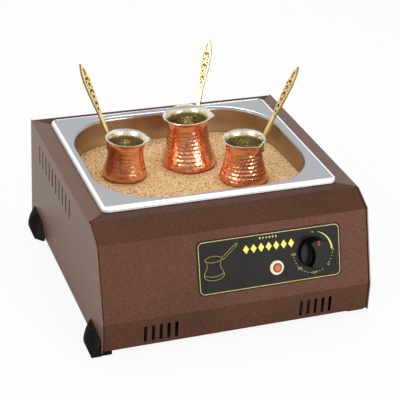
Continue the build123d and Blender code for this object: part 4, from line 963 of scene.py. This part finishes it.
# %% Border line
border_size, border_corner, border_width = (0.1928, 0.0674, 1), 0.0066, 0.0009
bpy.ops.object.select_all(action="DESELECT")
bpy.ops.mesh.primitive_plane_add(size=1)
border = bpy.context.object
border.name = "plate_border"
border.scale = border_size
bpy.ops.object.transform_apply(location=False, rotation=False, scale=True)
bpy.ops.object.mode_set(mode="EDIT")
bpy.ops.mesh.select_all(action="SELECT")
bpy.ops.mesh.bevel(offset=border_corner, segments=8, affect="VERTICES")
bpy.ops.mesh.select_all(action="SELECT")
bpy.ops.mesh.inset(thickness=border_width)
bpy.ops.mesh.delete(type="FACE")
bpy.ops.object.mode_set(mode="OBJECT")
lay_on_plate(border, gold_ink)
print("border", len(border.data.polygons), "faces")

# %% Rising arc of the scale
bpy.ops.object.select_all(action="DESELECT")
bpy.ops.mesh.primitive_plane_add(size=0.001)
arc = bpy.context.object
arc.name = "scale_arc"
start, end, steps = math.radians(72), math.radians(4), 28
arc_radius, thin_half, growth = 0.0264, 0.0002, 0.0010  # the line grows from its start to its end
inner, outer = 0.0255, 0.0267
for i, vertex in enumerate(arc.data.vertices):
    vertex.co = ((inner, outer)[i % 2], 0, 0)
bpy.ops.object.mode_set(mode="EDIT")
bpy.ops.mesh.select_all(action="SELECT")
bpy.ops.mesh.remove_doubles(threshold=0.00001)
bpy.ops.mesh.select_all(action="SELECT")
bpy.ops.mesh.spin(steps=steps, angle=start - end, center=(0, 0, 0), axis=(0, 0, 1))
bpy.ops.object.mode_set(mode="OBJECT")
for vertex in arc.data.vertices:
    swept = math.atan2(vertex.co.y, vertex.co.x)
    share = abs(swept) / (start - end)
    side = 1 if vertex.co.length > (inner + outer) / 2 else -1
    radius = arc_radius + side * (thin_half + growth * share)
    bearing = start - abs(swept)
    vertex.co = (dial.x + radius * math.cos(bearing), dial.y + radius * math.sin(bearing), 0)
lay_on_plate(arc, yellow_ink)
print("arc", len(arc.data.polygons), "faces")

# %% Dots and the off mark
def flat_shape(name, sides, size, place, stretch=1.0):
    """A small flat polygon on the plate: a disc, or a lozenge where it has four sides."""
    bpy.ops.object.select_all(action="DESELECT")
    bpy.ops.mesh.primitive_circle_add(vertices=sides, radius=size, fill_type="NGON",
                                      location=(place[0], place[1], 0))
    shape = bpy.context.object
    shape.name = name
    shape.scale = (stretch, 1, 1)
    return shape


label_angles = [0, -45, -90, -135, -180]
dot_reach, number_reach, off_reach = 0.0272, 0.0274, 0.0262
dots = []
for first in label_angles[:-1]:
    for step in range(1, 5):
        bearing = math.radians(first - 9 * step)
        place = dial + dot_reach * Vector((math.cos(bearing), math.sin(bearing)))
        dots.append(flat_shape("dot", 10, 0.00055, place))
lay_on_plate(join("scale_dots", dots), pale_ink)
lay_on_plate(flat_shape("off_mark", 4, 0.0012, dial + Vector((0.0, off_reach)), 0.45), pale_ink)
print("dots", len(dots))

# %% Numbers of the scale
def as_mesh(curve, place):
    """A text or a curve at a place, made a mesh."""
    piece = bpy.data.objects.new(curve.name, curve)
    piece.location = place
    bpy.context.scene.collection.objects.link(piece)
    select_only(piece)
    bpy.ops.object.convert(target="MESH")
    return bpy.context.object


numbers = []
for number, angle in enumerate(label_angles, start=1):
    text = bpy.data.curves.new("number", "FONT")
    text.body = str(50 * number)
    text.size = 0.0042
    text.align_x, text.align_y = "CENTER", "CENTER"
    bearing = math.radians(angle)
    place = dial + number_reach * Vector((math.cos(bearing), math.sin(bearing)))
    numbers.append(as_mesh(text, (*place, 0)))
lay_on_plate(join("scale_numbers", numbers), gold_ink)
print("numbers", len(numbers))

# %% [markdown]
# ## Ornament
# The plate carries a band of lozenges where a shop would print a name, and a line drawing of a coffee pot. The
# band is one lozenge repeated. The drawing is a set of open curves with a round bevel, flattened to ink.

# %% Lozenge bands
def lozenge_band(name, count, size, pitch, middle, material):
    """A row of lozenges on the plate."""
    row = []
    for i in range(count):
        place = Vector(middle) + Vector(((i - (count - 1) / 2) * pitch, 0))
        row.append(flat_shape("lozenge", 4, size, place, 0.72))
    lay_on_plate(join(name, row), material)


lozenge_band("lozenge_band", 7, 0.0057, 0.0103, (-0.0016, 0.0168), yellow_ink)
lozenge_band("small_lozenges", 6, 0.0018, 0.0044, (-0.0022, 0.0288), gold_ink)

# %% Pot drawing
drawing = [
    [(-0.0885, 0.0100), (-0.0845, 0.0135), (-0.0765, 0.0145), (-0.0685, 0.0135), (-0.0645, 0.0100)],
    [(-0.0885, 0.0100), (-0.0845, 0.0070), (-0.0765, 0.0060), (-0.0685, 0.0070), (-0.0645, 0.0100)],
    [(-0.0866, 0.0080), (-0.0840, 0.0020), (-0.0885, -0.0050), (-0.0905, -0.0105), (-0.0865, -0.0155),
     (-0.0765, -0.0172), (-0.0665, -0.0155), (-0.0625, -0.0105), (-0.0645, -0.0050), (-0.0690, 0.0020),
     (-0.0664, 0.0080)],
    [(-0.0898, -0.0085), (-0.0840, -0.0115), (-0.0765, -0.0122), (-0.0690, -0.0115), (-0.0632, -0.0085)],
    [(-0.0650, 0.0112), (-0.0470, 0.0262), (-0.0435, 0.0270), (-0.0440, 0.0238), (-0.0640, 0.0082)],
]
strokes = []
for points in drawing:
    curve = bpy.data.curves.new("stroke", "CURVE")
    curve.dimensions = "3D"
    curve.bevel_depth = 0.00032
    curve.bevel_resolution = 0
    curve.resolution_u = 6
    spline = curve.splines.new("NURBS")
    spline.points.add(len(points) - 1)
    for point, (x, y) in zip(spline.points, points):
        point.co = (x, y, 0, 1)
    spline.order_u = 3
    spline.use_endpoint_u = True
    strokes.append(as_mesh(curve, (0, 0, 0)))
pot_drawing = join("pot_drawing", strokes)
pot_drawing.scale = (1, 1, 0.35)
bpy.ops.object.transform_apply(location=False, rotation=False, scale=True)
settle(pot_drawing, on_plate)
pot_drawing.data.materials.append(gold_ink)
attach(pot_drawing, "casing")
print("strokes", len(strokes))
